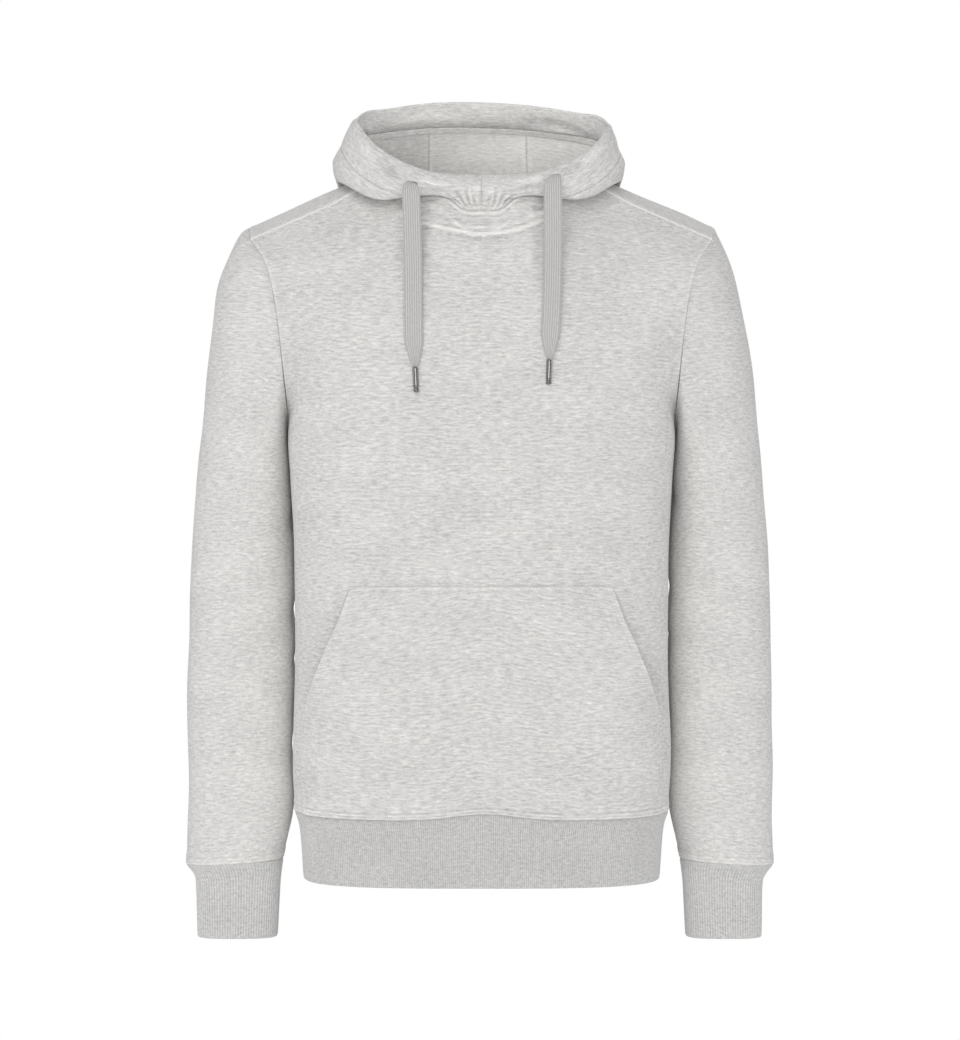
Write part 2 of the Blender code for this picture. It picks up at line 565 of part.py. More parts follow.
def main():
    for thing in list(bpy.data.objects):
        bpy.data.objects.remove(thing)
    hoodie = bpy.data.collections.new("hoodie")
    bpy.context.scene.collection.children.link(hoodie)
    fleece = look("grey_melange_fleece", (0.66, 0.66, 0.65), 0.95)
    rib = look("grey_melange_rib", (0.55, 0.55, 0.54), 0.95)
    braid = look("grey_braid", (0.52, 0.52, 0.52), 0.9)
    metal = look("dark_metal", (0.09, 0.09, 0.09), 0.35, 0.9)

    lower = [row[0] for row in TORSO]
    front_keys = [TORSO[-1][0]] + [level for level, points in FRONT_SECTIONS]
    back_keys = [TORSO[-1][0]] + [level for level, points in BACK_SECTIONS]
    upper = np.linspace(0, 1, UPPER_ROWS + 1)[1:]
    front_levels = np.interp(upper, np.linspace(0, 1, len(front_keys)), front_keys)
    back_levels = np.interp(upper, np.linspace(0, 1, len(back_keys)), back_keys)
    front = panel(FRONT_HALF, 2, FRONT_COLUMNS, FRONT_SECTIONS, np.concatenate([lower, front_levels]))
    back = panel(BACK_HALF, 3, BACK_COLUMNS, BACK_SECTIONS, np.concatenate([lower, back_levels]))[:, ::-1]
    shoulder = FRONT_HALF - FRONT_NECK + 1
    back[-1, :shoulder] = front[-1, -shoulder:][::-1]
    back[-1, -shoulder:] = front[-1, :shoulder][::-1]
    front = raise_hem_seam(front)
    armpit = len(TORSO) - 1

    pieces = {"body_front": (front, False, 1), "body_back": (back, False, 1)}
    for side, left, own, other in (("left", True, 0, -1), ("right", False, -1, 0)):
        armhole = np.concatenate([front[armpit:, own], back[-2:armpit:-1, other]])
        tube = sleeve(armhole, left)
        rows = [ring(row, left, CUFF_SQUARENESS, len(armhole)) for row in CUFF]
        facing = 1 if left else -1
        pieces["sleeve_" + side] = (tube, True, facing)
        pieces["cuff_" + side] = (np.array([tube[-1]] + rows), True, facing)
    seam = np.concatenate([front[0, :-1], back[0, :-1]])
    hem = [seam]
    for height, half_width, front_y, back_y in HEM:
        ahead = half_section(height, half_width, front_y, 2 * FRONT_HALF)
        behind = half_section(height, half_width, back_y, 2 * BACK_HALF)[::-1]
        hem.append(np.concatenate([ahead[:-1], behind[:-1]]))
    pieces["hem_rib"] = (np.array(hem), True, -1)
    front_neck = front[-1, FRONT_HALF : FRONT_HALF + FRONT_NECK]
    back_neck = back[-1, BACK_HALF - BACK_NECK : BACK_HALF + BACK_NECK]
    rest_of_neck = front[-1, FRONT_HALF - FRONT_NECK : FRONT_HALF]
    neck = np.concatenate([front_neck, back_neck, rest_of_neck])
    pieces["hood"] = (hood(finer(neck[None], 2)[0]), True, 1)

    inside = insides(pieces)
    inside["hood"][0, 1::2] = (inside["hood"][0, 0::2] + np.roll(inside["hood"][0, 0::2], -1, axis=0)) / 2

    for name in ("body_front", "body_back"):
        add_wall(name, pieces[name][0], inside[name], False, fleece)
    for side in ("left", "right"):
        name = "sleeve_" + side
        add_wall(name, pieces[name][0], inside[name], True, fleece)
        name = "cuff_" + side
        add_rib(name, pieces[name][0], inside[name], pieces[name][2], CUFF_RIBS_IN_COLUMN, rib)
    add_rib("hem_rib", pieces["hem_rib"][0], inside["hem_rib"], -1, RIBS_IN_COLUMN, rib)

    around = 2 * HOOD_HALF
    hood_panels = (
        ("hood_right", 0, HOOD_HALF - CENTRE_PANEL_HALF),
        ("hood_centre", HOOD_HALF - CENTRE_PANEL_HALF, HOOD_HALF + CENTRE_PANEL_HALF),
        ("hood_left", HOOD_HALF + CENTRE_PANEL_HALF, around),
    )
    for name, first, last in hood_panels:
        columns = np.arange(first, last + 1) % around
        add_wall(name, pieces["hood"][0][:, columns], inside["hood"][:, columns], False, fleece)

    inner, outer = pocket(front, directions(front, False, 1))
    add_wall("pocket", outer, inner, False, fleece)

    for side, route in (("left", CORD_LEFT), ("right", CORD_RIGHT)):
        line = add_cord("drawcord_" + side, route, braid)
        add_tip("aglet_" + side, line, metal)


main()
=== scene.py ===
import math

import bpy
import numpy as np
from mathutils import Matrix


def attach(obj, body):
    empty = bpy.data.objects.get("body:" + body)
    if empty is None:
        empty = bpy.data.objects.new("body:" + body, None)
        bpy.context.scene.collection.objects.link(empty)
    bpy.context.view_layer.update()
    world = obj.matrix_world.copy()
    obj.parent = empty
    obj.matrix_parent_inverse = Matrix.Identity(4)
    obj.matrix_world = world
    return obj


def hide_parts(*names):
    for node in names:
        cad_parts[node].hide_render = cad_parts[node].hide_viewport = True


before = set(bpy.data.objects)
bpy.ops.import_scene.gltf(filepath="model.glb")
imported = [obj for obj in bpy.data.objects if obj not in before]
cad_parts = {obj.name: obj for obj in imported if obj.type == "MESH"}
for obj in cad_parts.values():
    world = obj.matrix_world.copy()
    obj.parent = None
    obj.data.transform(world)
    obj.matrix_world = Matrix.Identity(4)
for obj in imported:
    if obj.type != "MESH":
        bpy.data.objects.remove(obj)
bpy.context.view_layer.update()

# Cloth
WALL = 0.002
SEAM_GAP = 0.0003
EDGE_ROWS = 5  # rows of points round a free edge
KEEP_BACK = 0.00003  # how far a piece's edge stays from the seam line itself
STITCH_PITCH = 0.0032
STITCH_LENGTH = 0.0026
THREAD = 0.0007

# Torso
SIDE_Y = 0.004
TORSO_SQUARENESS = 3.2
SEAM_Z = -0.6135
SEAM_RISE = 0.0062
SEAM_RISE_X = 0.003
SEAM_RISE_WIDTH = 0.042
SEAM_RISE_FADES = 0.06
FRONT_HALF = 13
BACK_HALF = 15
FRONT_NECK = 6
BACK_NECK = 8
ARMPIT = 7  # row of a body panel where its armhole starts
UPPER_ROWS = 12
TOP = ARMPIT + UPPER_ROWS

# Sleeves and cuffs
SLEEVE_SQUARENESS = 2.3
CUFF_SQUARENESS = 2.9
CAP_ROWS = 6
AROUND_SLEEVE = 24

# Hood
HOOD_HALF = 28
CENTRE_PANEL_HALF = 3
NECK_ROWS = 4
DROOP = 0.01
DROOP_AT = 42.0
DROOP_WIDTH = 17.0
LEAN = 0.02
TURN = -0.008
TUNNEL_FRONT = 0.033  # from the rim down to the stitches of the drawcord tunnel
TUNNEL_BACK = 0.0275
FACING_EDGE = 0.0088  # from those stitches down to the edge of the tunnel's facing inside

# Pocket
POCKET_MOUTH_LIFT = 0.011
POCKET_LIFT = 0.009
POCKET_TOP_ROW = 4

# Drawcords
CORD_WIDTH = 0.017
CORD_THICKNESS = 0.0022
CORD_NARROW = 0.0046
CORD_TAPER = 0.024
CORD_ROWS = 88
CORD_RIBS = 8
CORD_BUNCHED = 0.016  # length over which a cord opens out below its buttonhole
TIP_RADIUS = 0.0026
TIP_LENGTH = 0.023

TORSO = (
    # height of a level section, half width, y of its front and of its back
    (-0.6135, 0.18, -0.1215, 0.1215),
    (-0.57, 0.1818, -0.1245, 0.125),
    (-0.5245, 0.1812, -0.126, 0.127),
    (-0.46, 0.1798, -0.127, 0.129),
    (-0.3975, 0.18, -0.128, 0.1305),
    (-0.345, 0.1815, -0.128, 0.1315),
    (-0.295, 0.184, -0.128, 0.132),
    (-0.25, 0.1862, -0.127, 0.132),
)
HEM = (
    # the same for the rib below
    (-0.632, 0.1748, -0.1203, 0.1203),
    (-0.6775, 0.1714, -0.1193, 0.1193),
)
FRONT_COLUMNS = (0, 1, 2, 4, 6, 9, 13)
FRONT_SECTIONS = (
    # height, and a point at each of these columns
    (-0.2, (
        (0, -0.1245, -0.2), (0.018, -0.1244, -0.2), (0.036, -0.1242, -0.2),
        (0.072, -0.1225, -0.2), (0.107, -0.118, -0.2), (0.151, -0.103, -0.202),
        (0.1874, -0.062, -0.205)
    )),
    (-0.145, (
        (0, -0.1185, -0.145), (0.017, -0.1184, -0.145), (0.034, -0.118, -0.145),
        (0.068, -0.1155, -0.1435), (0.102, -0.109, -0.141), (0.1475, -0.0965, -0.1385),
        (0.195, -0.072, -0.136)
    )),
    (-0.088, (
        (0, -0.106, -0.088), (0.016, -0.1058, -0.0875), (0.032, -0.1048, -0.086),
        (0.063, -0.0975, -0.081), (0.098, -0.081, -0.074), (0.147, -0.074, -0.08),
        (0.206, -0.062, -0.09)
    )),
    (-0.043, (
        (0, -0.085, -0.043), (0.0175, -0.085, -0.0422), (0.0325, -0.0835, -0.0305),
        (0.063, -0.07, -0.027), (0.095, -0.034, -0.0115), (0.149, -0.0345, -0.0348),
        (0.2215, -0.033, -0.066)
    )),
)
BACK_COLUMNS = (0, 2, 4, 6, 8, 11, 15)
BACK_SECTIONS = (
    (-0.195, (
        (0, 0.131, -0.195), (0.034, 0.1305, -0.195), (0.068, 0.129, -0.195),
        (0.101, 0.126, -0.1955), (0.131, 0.12, -0.196), (0.167, 0.103, -0.197),
        (0.189, 0.072, -0.2)
    )),
    (-0.135, (
        (0, 0.125, -0.135), (0.036, 0.1245, -0.135), (0.072, 0.1225, -0.136),
        (0.104, 0.1185, -0.137), (0.132, 0.112, -0.139), (0.168, 0.099, -0.143),
        (0.1955, 0.083, -0.148)
    )),
    (-0.07, (
        (0, 0.113, -0.07), (0.04, 0.111, -0.0705), (0.08, 0.105, -0.072),
        (0.108, 0.098, -0.074), (0.129, 0.093, -0.076), (0.168, 0.085, -0.084),
        (0.205, 0.074, -0.098)
    )),
    (-0.02, (
        (0, 0.096, -0.026), (0.043, 0.091, -0.026), (0.084, 0.075, -0.025),
        (0.11, 0.06, -0.022), (0.123, 0.054, -0.023), (0.166, 0.05, -0.038),
        (0.219, 0.048, -0.064)
    )),
    (0.02, (
        (0, 0.084, -0.006), (0.042, 0.0775, -0.0055), (0.079, 0.052, -0.004),
        (0.1, 0.023, -0.001), (0.106, 0.01, -0.0005), (0.155, 0.011, -0.0185),
        (0.2255, 0.012, -0.0505)
    )),
    (0.06, (
        (0, 0.076, 0.003), (0.04, 0.069, 0.003), (0.074, 0.042, 0.0015),
        (0.0925, 0.006, -0.0025), (0.095, -0.034, -0.0115), (0.149, -0.0345, -0.0348),
        (0.2215, -0.033, -0.066)
    )),
)
SLEEVE = (
    # outer edge: z, x on the right, x on the left; inner edge: z, x; y of the middle, half depth
    (-0.0505, 0.2255, 0.2255, -0.25, 0.1862, 0.012, 0.08),
    (-0.0545, 0.229, 0.2345, -0.256, 0.1876, 0.013, 0.081),
    (-0.064, 0.2352, 0.242, -0.262, 0.1877, 0.015, 0.081),
    (-0.079, 0.242, 0.249, -0.269, 0.1874, 0.017, 0.08),
    (-0.105, 0.2495, 0.2575, -0.279, 0.1868, 0.02, 0.079),
    (-0.145, 0.2575, 0.2618, -0.294, 0.1859, 0.024, 0.077),
    (-0.195, 0.265, 0.268, -0.317, 0.1848, 0.028, 0.074),
    (-0.245, 0.27, 0.2738, -0.347, 0.1834, 0.031, 0.071),
    (-0.3, 0.2757, 0.2793, -0.382, 0.1822, 0.032, 0.067),
    (-0.355, 0.2792, 0.2826, -0.422, 0.1816, 0.032, 0.063),
    (-0.415, 0.2812, 0.2846, -0.467, 0.1815, 0.03, 0.06),
    (-0.48, 0.2827, 0.2863, -0.517, 0.1822, 0.028, 0.056),
    (-0.545, 0.2835, 0.2868, -0.567, 0.1832, 0.026, 0.052),
    (-0.605, 0.2845, 0.2869, -0.614, 0.184, 0.023, 0.047),
    (-0.67, 0.2842, 0.2875, -0.664, 0.1938, 0.019, 0.04),
)
CUFF = (
    (-0.679, 0.2765, 0.2797, -0.675, 0.1952, 0.017, 0.034),
    (-0.69, 0.273, 0.2775, -0.689, 0.1966, 0.015, 0.0305),
    (-0.7385, 0.2722, 0.276, -0.7385, 0.199, 0.014, 0.0285),
)
HOOD = (
    # half width; y at front, side, back; z at front, side, back; power of the drop; x of the middle; droop
    (0.093, -0.085, -0.004, 0.076, -0.043, -0.002, 0.003, 1.0, 0.0, 0.0),
    (0.0915, -0.0865, 0.0, 0.08, -0.039, 0.007, 0.007, 1.0, 0.0, 0.0),
    (0.097, -0.089, 0.003, 0.089, -0.0355, 0.011, 0.007, 1.0, 0.0, 0.0),
    (0.113, -0.091, 0.004, 0.107, -0.0325, 0.0085, -0.011, 1.5, -0.0005, 0.3),
    (0.1285, -0.093, 0.006, 0.13, -0.03, 0.001, -0.062, 1.9, -0.001, 0.8),
    (0.1375, -0.0943, 0.008, 0.1445, -0.0282, -0.0055, -0.13, 1.9, -0.0017, 1.0),
    (0.14, -0.0951, 0.01, 0.1495, -0.027, -0.0025, -0.18, 1.88, -0.0022, 1.0),
    (0.1413, -0.0957, 0.011, 0.1585, -0.0259, 0.003, -0.203, 1.85, -0.0025, 1.0),
    (0.1419, -0.096, 0.012, 0.174, -0.0249, 0.0085, -0.209, 1.75, -0.0025, 0.9),
    (0.142, -0.0962, 0.012, 0.1895, -0.024, 0.014, -0.196, 1.68, -0.0025, 0.8),
    (0.1392, -0.0961, 0.013, 0.1985, -0.0228, 0.0205, -0.148, 1.55, -0.0025, 0.6),
    (0.1352, -0.0956, 0.015, 0.2, -0.0213, 0.0285, -0.083, 1.46, -0.0021, 0.3),
    (0.132, -0.0945, 0.017, 0.185, -0.0194, 0.0375, -0.012, 1.38, -0.0014, 0.1),
    (0.1286, -0.093, 0.019, 0.1525, -0.0172, 0.0465, 0.043, 1.36, -0.0006, 0.0),
    (0.1258, -0.0912, 0.021, 0.124, -0.0149, 0.055, 0.069, 1.42, 0.0003, 0.0),
    (0.1228, -0.089, 0.022, 0.112, -0.013, 0.059, 0.0848, 1.58, 0.001, 0.0),
)
HOOD_TOP = len(HOOD) - 1
HOOD_WIDTH_POWER = 0.92
FRONT_POWER = (0.76, 1.12)
BACK_POWER = 0.88
HOOD_COLUMNS = (0, 12, 16, 20, 24, 28)
HOOD_ANGLES = (0.0, 70.0, 95.0, 124.0, 152.0, 180.0)
POCKET_EDGE = ((0.0, 9.0), (2.0, 9.0), (2.35, 8.15), (2.9, 7.25), (3.45, 6.5), (4.0, 6.0))
CORD_LEFT = (
    (-0.0655, -0.0998, -0.019), (-0.066, -0.1045, -0.022), (-0.066, -0.1075, -0.029),
    (-0.0655, -0.109, -0.042), (-0.065, -0.1095, -0.06), (-0.0645, -0.1105, -0.078),
    (-0.064, -0.1135, -0.096), (-0.0638, -0.117, -0.114), (-0.0636, -0.12, -0.132),
    (-0.0634, -0.1222, -0.15), (-0.063, -0.124, -0.168), (-0.0618, -0.1258, -0.193),
)
CORD_RIGHT = (
    (0.066, -0.0985, -0.012), (0.0662, -0.103, -0.015), (0.0664, -0.1065, -0.023),
    (0.0666, -0.1085, -0.038), (0.0668, -0.1092, -0.056), (0.0668, -0.1105, -0.076),
    (0.0666, -0.1135, -0.094), (0.0662, -0.1168, -0.112), (0.0656, -0.1198, -0.13),
    (0.0648, -0.122, -0.148), (0.0638, -0.1236, -0.165), (0.063, -0.1252, -0.186),
)

# Distances from a seam at which a piece has a row or column of its own
NEAR_SEAM = np.array((
    0, 0.0005, 0.001, 0.0016, 0.0023, 0.0028, 0.0033, 0.0038, 0.0045, 0.0054, 0.0061, 0.0066, 0.007, 0.0075,
    0.0084, 0.0098, 0.012, 0.015, 0.0185,
))
NEAR_PLAIN_SEAM = np.array((0, 0.0007, 0.0015, 0.0026, 0.0042, 0.0065, 0.01))


def blend(keys, rows, at):
    """The rows at each place in at: a cubic through all of them, with slopes from the rows on both sides."""
    keys = np.asarray(keys, float)
    rows = np.asarray(rows, float)
    at = np.asarray(at, float)
    slopes = np.gradient(rows, keys, axis=0)
    i = np.clip(np.searchsorted(keys, at, side="right") - 1, 0, len(keys) - 2)
    like_rows = (-1,) + (1,) * (rows.ndim - 1)
    step = (keys[i + 1] - keys[i]).reshape(like_rows)
    t = ((at - keys[i]).reshape(like_rows)) / step
    start = (1 + 2 * t) * (1 - t) ** 2 * rows[i] + t * (1 - t) ** 2 * step * slopes[i]
    end = t * t * (3 - 2 * t) * rows[i + 1] + t * t * (t - 1) * step * slopes[i + 1]
    return start + end


def smooth(value, low, high):
    """0 up to low, 1 from high on, and a soft step between them."""
    share = np.clip((value - low) / (high - low), 0, 1)
    return share * share * (3 - 2 * share)


def hump(value, middle, width):
    return np.exp(-(((value - middle) / width) ** 2))


def unit(ways):
    return ways / np.linalg.norm(ways, axis=-1, keepdims=True)


def lengths_along(line):
    """Length along a line from its first point to each of its points."""
    return np.concatenate([[0], np.cumsum(np.linalg.norm(np.diff(line, axis=0), axis=1))])


def at_places(at, known, values):
    """Values at these places, from those at known places, each column of them on its own."""
    return np.stack([np.interp(at, known, values[:, k]) for k in range(values.shape[1])], axis=-1)


def at_shares(points, shares):
    """Points on a polyline at shares of its length."""
    along = lengths_along(points)
    return at_places(np.asarray(shares) * along[-1], along, points)


def down_columns(at, known, grid):
    """A grid's values at places of their own down each of its columns."""
    return np.stack([at_places(at[:, c], known[:, c], grid[:, c]) for c in range(grid.shape[1])], axis=1)


def fading(rings, change, count):
    """Adds a change to the first ring, and less and less of it to those after, up to a number of them."""
    for k in range(count):
        rings[k] += change * smooth(1 - k / count, 0, 1)
    return rings


def half_section(height, half_width, middle_y, shares):
    """The front or back half of a level section, from -X to +X."""
    turn = np.linspace(0, math.pi, 2881)
    power = 2 / TORSO_SQUARENESS
    x = -half_width * np.sign(np.cos(turn)) * np.abs(np.cos(turn)) ** power
    y = SIDE_Y + (middle_y - SIDE_Y) * np.abs(np.sin(turn)) ** power
    return at_shares(np.stack([x, y, np.full_like(x, height)], axis=1), shares)


def mirrored_section(columns, points, at):
    """A section through points that are given for its +X half, at places from -X to +X."""
    points = np.asarray(points, float)
    columns = np.asarray(columns, float)
    other = points[:0:-1] * (-1, 1, 1)
    return blend(np.concatenate([-columns[:0:-1], columns]), np.concatenate([other, points]), at)


def panel(half, side, columns, sections, rows, at):
    """Outside of the front or back panel at these rows and columns, which may lie between whole ones."""
    keys = [row[0] for row in TORSO]
    known = [half_section(row[0], row[1], row[side], (at + half) / (2 * half)) for row in TORSO]
    upper = [TORSO[-1][0]]
    for level, points in sections:
        keys.append(level)
        upper.append(level)
        known.append(mirrored_section(columns, points, at))
    low = np.interp(rows, np.arange(len(TORSO)), [row[0] for row in TORSO])
    high = np.interp((rows - ARMPIT) / UPPER_ROWS, np.linspace(0, 1, len(upper)), upper)
    return blend(keys, known, np.where(rows < ARMPIT, low, high))


def front_panel(rows, at):
    """The front, whose hem seam rides up a little in the middle."""
    points = panel(FRONT_HALF, 2, FRONT_COLUMNS, FRONT_SECTIONS, rows, at)
    near = np.clip(1 - np.abs(points[..., 2] - SEAM_Z) / SEAM_RISE_FADES, 0, 1)
    points[..., 2] += SEAM_RISE * hump(points[..., 0], SEAM_RISE_X, SEAM_RISE_WIDTH) * near
    return points


def back_panel(rows, at):
    """The back, which ends in the front's own line along the shoulder seams."""
    points = panel(BACK_HALF, 3, BACK_COLUMNS, BACK_SECTIONS, rows, at)
    shoulder = np.abs(at) >= BACK_NECK
    on_front = np.sign(at) * (np.abs(at) - BACK_NECK + FRONT_NECK)
    seam = front_panel(np.array([float(TOP)]), np.where(shoulder, on_front, 0))[0]
    top = panel(BACK_HALF, 3, BACK_COLUMNS, BACK_SECTIONS, np.array([float(TOP)]), at)[0]
    share = smooth(rows, TOP - 1.5, TOP)
    points += share[:, None, None] * np.where(shoulder[:, None], seam - top, 0)
    return points


def ring(row, left, squareness, shares):
    """A ring of a sleeve or cuff, from its inner edge through the front to its outer edge and back."""
    outer_z, outer_right, outer_left, inner_z, inner_x, middle_y, half_depth = row
    inner = np.array((inner_x, middle_y, inner_z))
    outer = np.array((outer_left if left else outer_right, middle_y, outer_z))
    turn = np.linspace(0, 2 * math.pi, 3841)
    power = 2 / squareness
    across = -np.sign(np.cos(turn)) * np.abs(np.cos(turn)) ** power
    deep = -np.sign(np.sin(turn)) * np.abs(np.sin(turn)) ** power
    loop = (inner + outer) / 2 + across[:, None] * (outer - inner) / 2
    loop[:, 1] += deep * half_depth
    return at_shares(loop, shares) * ((-1, 1, 1) if left else (1, 1, 1))


def sleeve(left, rows, times):
    """Outside of a sleeve, with times points to each part of the armhole's line."""
    count = AROUND_SLEEVE * times
    rising = ARMPIT + np.arange(UPPER_ROWS * times + 1) / times
    falling = rising[-2:0:-1]
    side = -1.0 if left else 1.0
    on_front = front_panel(rising, np.array([side * FRONT_HALF]))[:, 0]
    on_back = back_panel(falling, np.array([side * BACK_HALF]))[:, 0]
    armhole = np.concatenate([on_front, on_back])
    shares = np.arange(count) / count
    rings = np.array([ring(row, left, SLEEVE_SQUARENESS, shares) for row in SLEEVE])
    return blend(np.arange(len(rings)), fading(rings, armhole - rings[0], CAP_ROWS), rows)


def cuff(left, rows, count):
    """Outside of a cuff from its seam down."""
    shares = np.arange(count) / count
    rings = [ring(SLEEVE[-1], left, SLEEVE_SQUARENESS, shares)]
    rings += [ring(row, left, CUFF_SQUARENESS, shares) for row in CUFF]
    return blend(np.arange(len(rings)), np.array(rings), rows)


def hem(rows, times):
    """Outside of the hem rib from its seam down, with times points to each column of the panels above."""
    ahead = np.arange(-FRONT_HALF * times, FRONT_HALF * times) / times
    behind = np.arange(BACK_HALF * times, -BACK_HALF * times, -1) / times
    bottom = np.array([0.0])
    rings = [np.concatenate([front_panel(bottom, ahead)[0], back_panel(bottom, behind)[0]])]
    ahead_shares = (ahead + FRONT_HALF) / (2 * FRONT_HALF)
    behind_shares = (behind + BACK_HALF) / (2 * BACK_HALF)
    for height, half_width, front_y, back_y in HEM:
        first = half_section(height, half_width, front_y, ahead_shares)
        second = half_section(height, half_width, back_y, behind_shares)
        rings.append(np.concatenate([first, second]))
    return blend(np.arange(len(rings)), np.array(rings), rows)


def hood_loop(row, columns):
    """One loop of the hood at these columns, counted from the centre front round the +X side."""
    half_width, front_y, side_y, back_y, front_z, side_z, back_z, drop, middle_x, droop = row
    right = columns <= HOOD_HALF
    angle = blend(HOOD_COLUMNS, HOOD_ANGLES, np.where(right, columns, 2 * HOOD_HALF - columns))
    sin = np.sin(np.radians(angle))
    cos = np.cos(np.radians(angle))
    ahead = np.clip(cos, 0, 1)
    behind = np.clip(-cos, 0, 1)
    x = half_width * np.clip(sin, 0, 1) ** HOOD_WIDTH_POWER * np.where(right, 1, -1)
    y = side_y + (front_y - side_y) * ahead ** FRONT_POWER[0] + (back_y - side_y) * behind**BACK_POWER
    z = side_z + (front_z - side_z) * ahead ** FRONT_POWER[1] + (back_z - side_z) * behind**drop
    z -= DROOP * droop * hump(angle, DROOP_AT, DROOP_WIDTH)
    z -= LEAN * x * (side_z / HOOD[-1][5]) ** 2
    aside = middle_x * (1 - ahead**8) + TURN * max(0.0, side_z / HOOD[-1][5]) ** 2 * behind**6
    return np.stack([x + aside, y, z], axis=1)


def neck_line(columns):
    """The neck seam at the hood's columns, taken from the tops of the front and back panels."""
    top = np.array([float(TOP)])
    start = 2 * FRONT_NECK
    end = 2 * HOOD_HALF - start
    last_part = np.where(columns >= end, (columns - 2 * HOOD_HALF) / 2, 0)
    on_front = np.where(columns <= start, columns / 2, last_part)
    on_back = np.clip(BACK_NECK - (columns - start) / 2, -BACK_NECK, BACK_NECK)
    ahead = (columns <= start) | (columns >= end)
    return np.where(ahead[:, None], front_panel(top, on_front)[0], back_panel(top, on_back)[0])


def hood(rows, columns):
    """Outside of the hood: its first loop is the neck seam, whose shape fades out over NECK_ROWS."""
    loops = np.array([hood_loop(row, columns) for row in HOOD])
    return blend(np.arange(len(loops)), fading(loops, neck_line(columns) - loops[0], NECK_ROWS), rows)


def directions(points, closed, facing):
    """Unit vectors out of the cloth at each point of a grid of rows and columns."""
    along = np.empty_like(points)
    along[1:-1] = points[2:] - points[:-2]
    along[0] = points[1] - points[0]
    along[-1] = points[-1] - points[-2]
    if closed:
        across = np.roll(points, -1, axis=1) - np.roll(points, 1, axis=1)
    else:
        across = np.empty_like(points)
        across[:, 1:-1] = points[:, 2:] - points[:, :-2]
        across[:, 0] = points[:, 1] - points[:, 0]
        across[:, -1] = points[:, -1] - points[:, -2]
    return unit(np.cross(across, along) * facing)


def reach(points, axis):
    """Length along a grid from its first row (axis 0) or column (axis 1) to each of its points."""
    steps = np.linalg.norm(np.diff(points, axis=axis), axis=2)
    first = np.zeros_like(points[:1, :, 0] if axis == 0 else points[:, :1, 0])
    return np.concatenate([first, np.cumsum(steps, axis=axis)], axis=axis)


def both_ends(first, last, near, step):
    """Places from first to last, a step apart, with others close to each end."""
    middle = np.arange(round((last - first) / step) + 1) * step + first
    middle = middle[(middle > first + near[-1] + step * 0.4) & (middle < last - near[-1] - step * 0.4)]
    return np.concatenate([first + near, middle, (last - near)[::-1]])


def by_distance(points, near_first, near_last, between):
    """The same lines down a grid's columns, with rows at set distances from both ends and others between."""
    down = reach(points, 0)
    total = down[-1]
    room = np.minimum(1, total / (near_first[-1] + near_last[-1] + 0.004))
    first = np.asarray(near_first)[:, None] * room
    last = total - np.asarray(near_last)[::-1, None] * room
    share = np.linspace(0, 1, between + 2)[1:-1, None]
    return down_columns(np.concatenate([first, first[-1] + (last[0] - first[-1]) * share, last]), down, points)


def patches(grid, rows, columns):
    """The four corners of each cell from these rows and columns of a grid to the next ones, which may wrap."""
    below = (rows + 1) % grid.shape[0]
    beside = (columns + 1) % grid.shape[1]
    around = ((rows, columns), (rows, beside), (below, beside), (below, columns))
    corners = [grid[row[:, None], column] for row, column in around]
    return np.stack(corners, axis=2).reshape(-1, 4, *grid.shape[2:])


def make_mesh(name, points, faces, corners_uv, material):
    """A mesh from points, faces as rows of point numbers, and a place on the flat cloth for each corner."""
    corners = points[faces]
    volume = np.einsum("ij,ij->i", corners[:, 0], np.cross(corners[:, 1], corners[:, 2])).sum()
    if faces.shape[1] == 4:
        volume += np.einsum("ij,ij->i", corners[:, 0], np.cross(corners[:, 2], corners[:, 3])).sum()
    if volume < 0:
        faces = faces[:, ::-1]
        corners_uv = None if corners_uv is None else corners_uv[:, ::-1]
    mesh = bpy.data.meshes.new(name)
    mesh.from_pydata(points.tolist(), [], faces.tolist())
    if corners_uv is not None:
        layer = mesh.uv_layers.new(name="cloth")
        layer.data.foreach_set("uv", np.ascontiguousarray(corners_uv, dtype=np.float32).ravel())
    mesh.materials.append(material)
    mesh.shade_smooth()
    thing = bpy.data.objects.new(name, mesh)
    bpy.context.scene.collection.objects.link(thing)
    return thing


def seat(thing, node=None):
    """Joins a piece to the one body, in place of the plain solid of a node if one is named."""
    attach(thing, "root")
    if node:
        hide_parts(node)


def set_shade(thing, shade):
    """Keeps on each point its painted light and shade: painted highlights on ridges, painted shade in grooves,
    seams and folds, and painted shadows.
    """
    kept = thing.data.attributes.new("shade", "FLOAT", "POINT")
    kept.data.foreach_set("value", np.asarray(shade, np.float32).ravel())


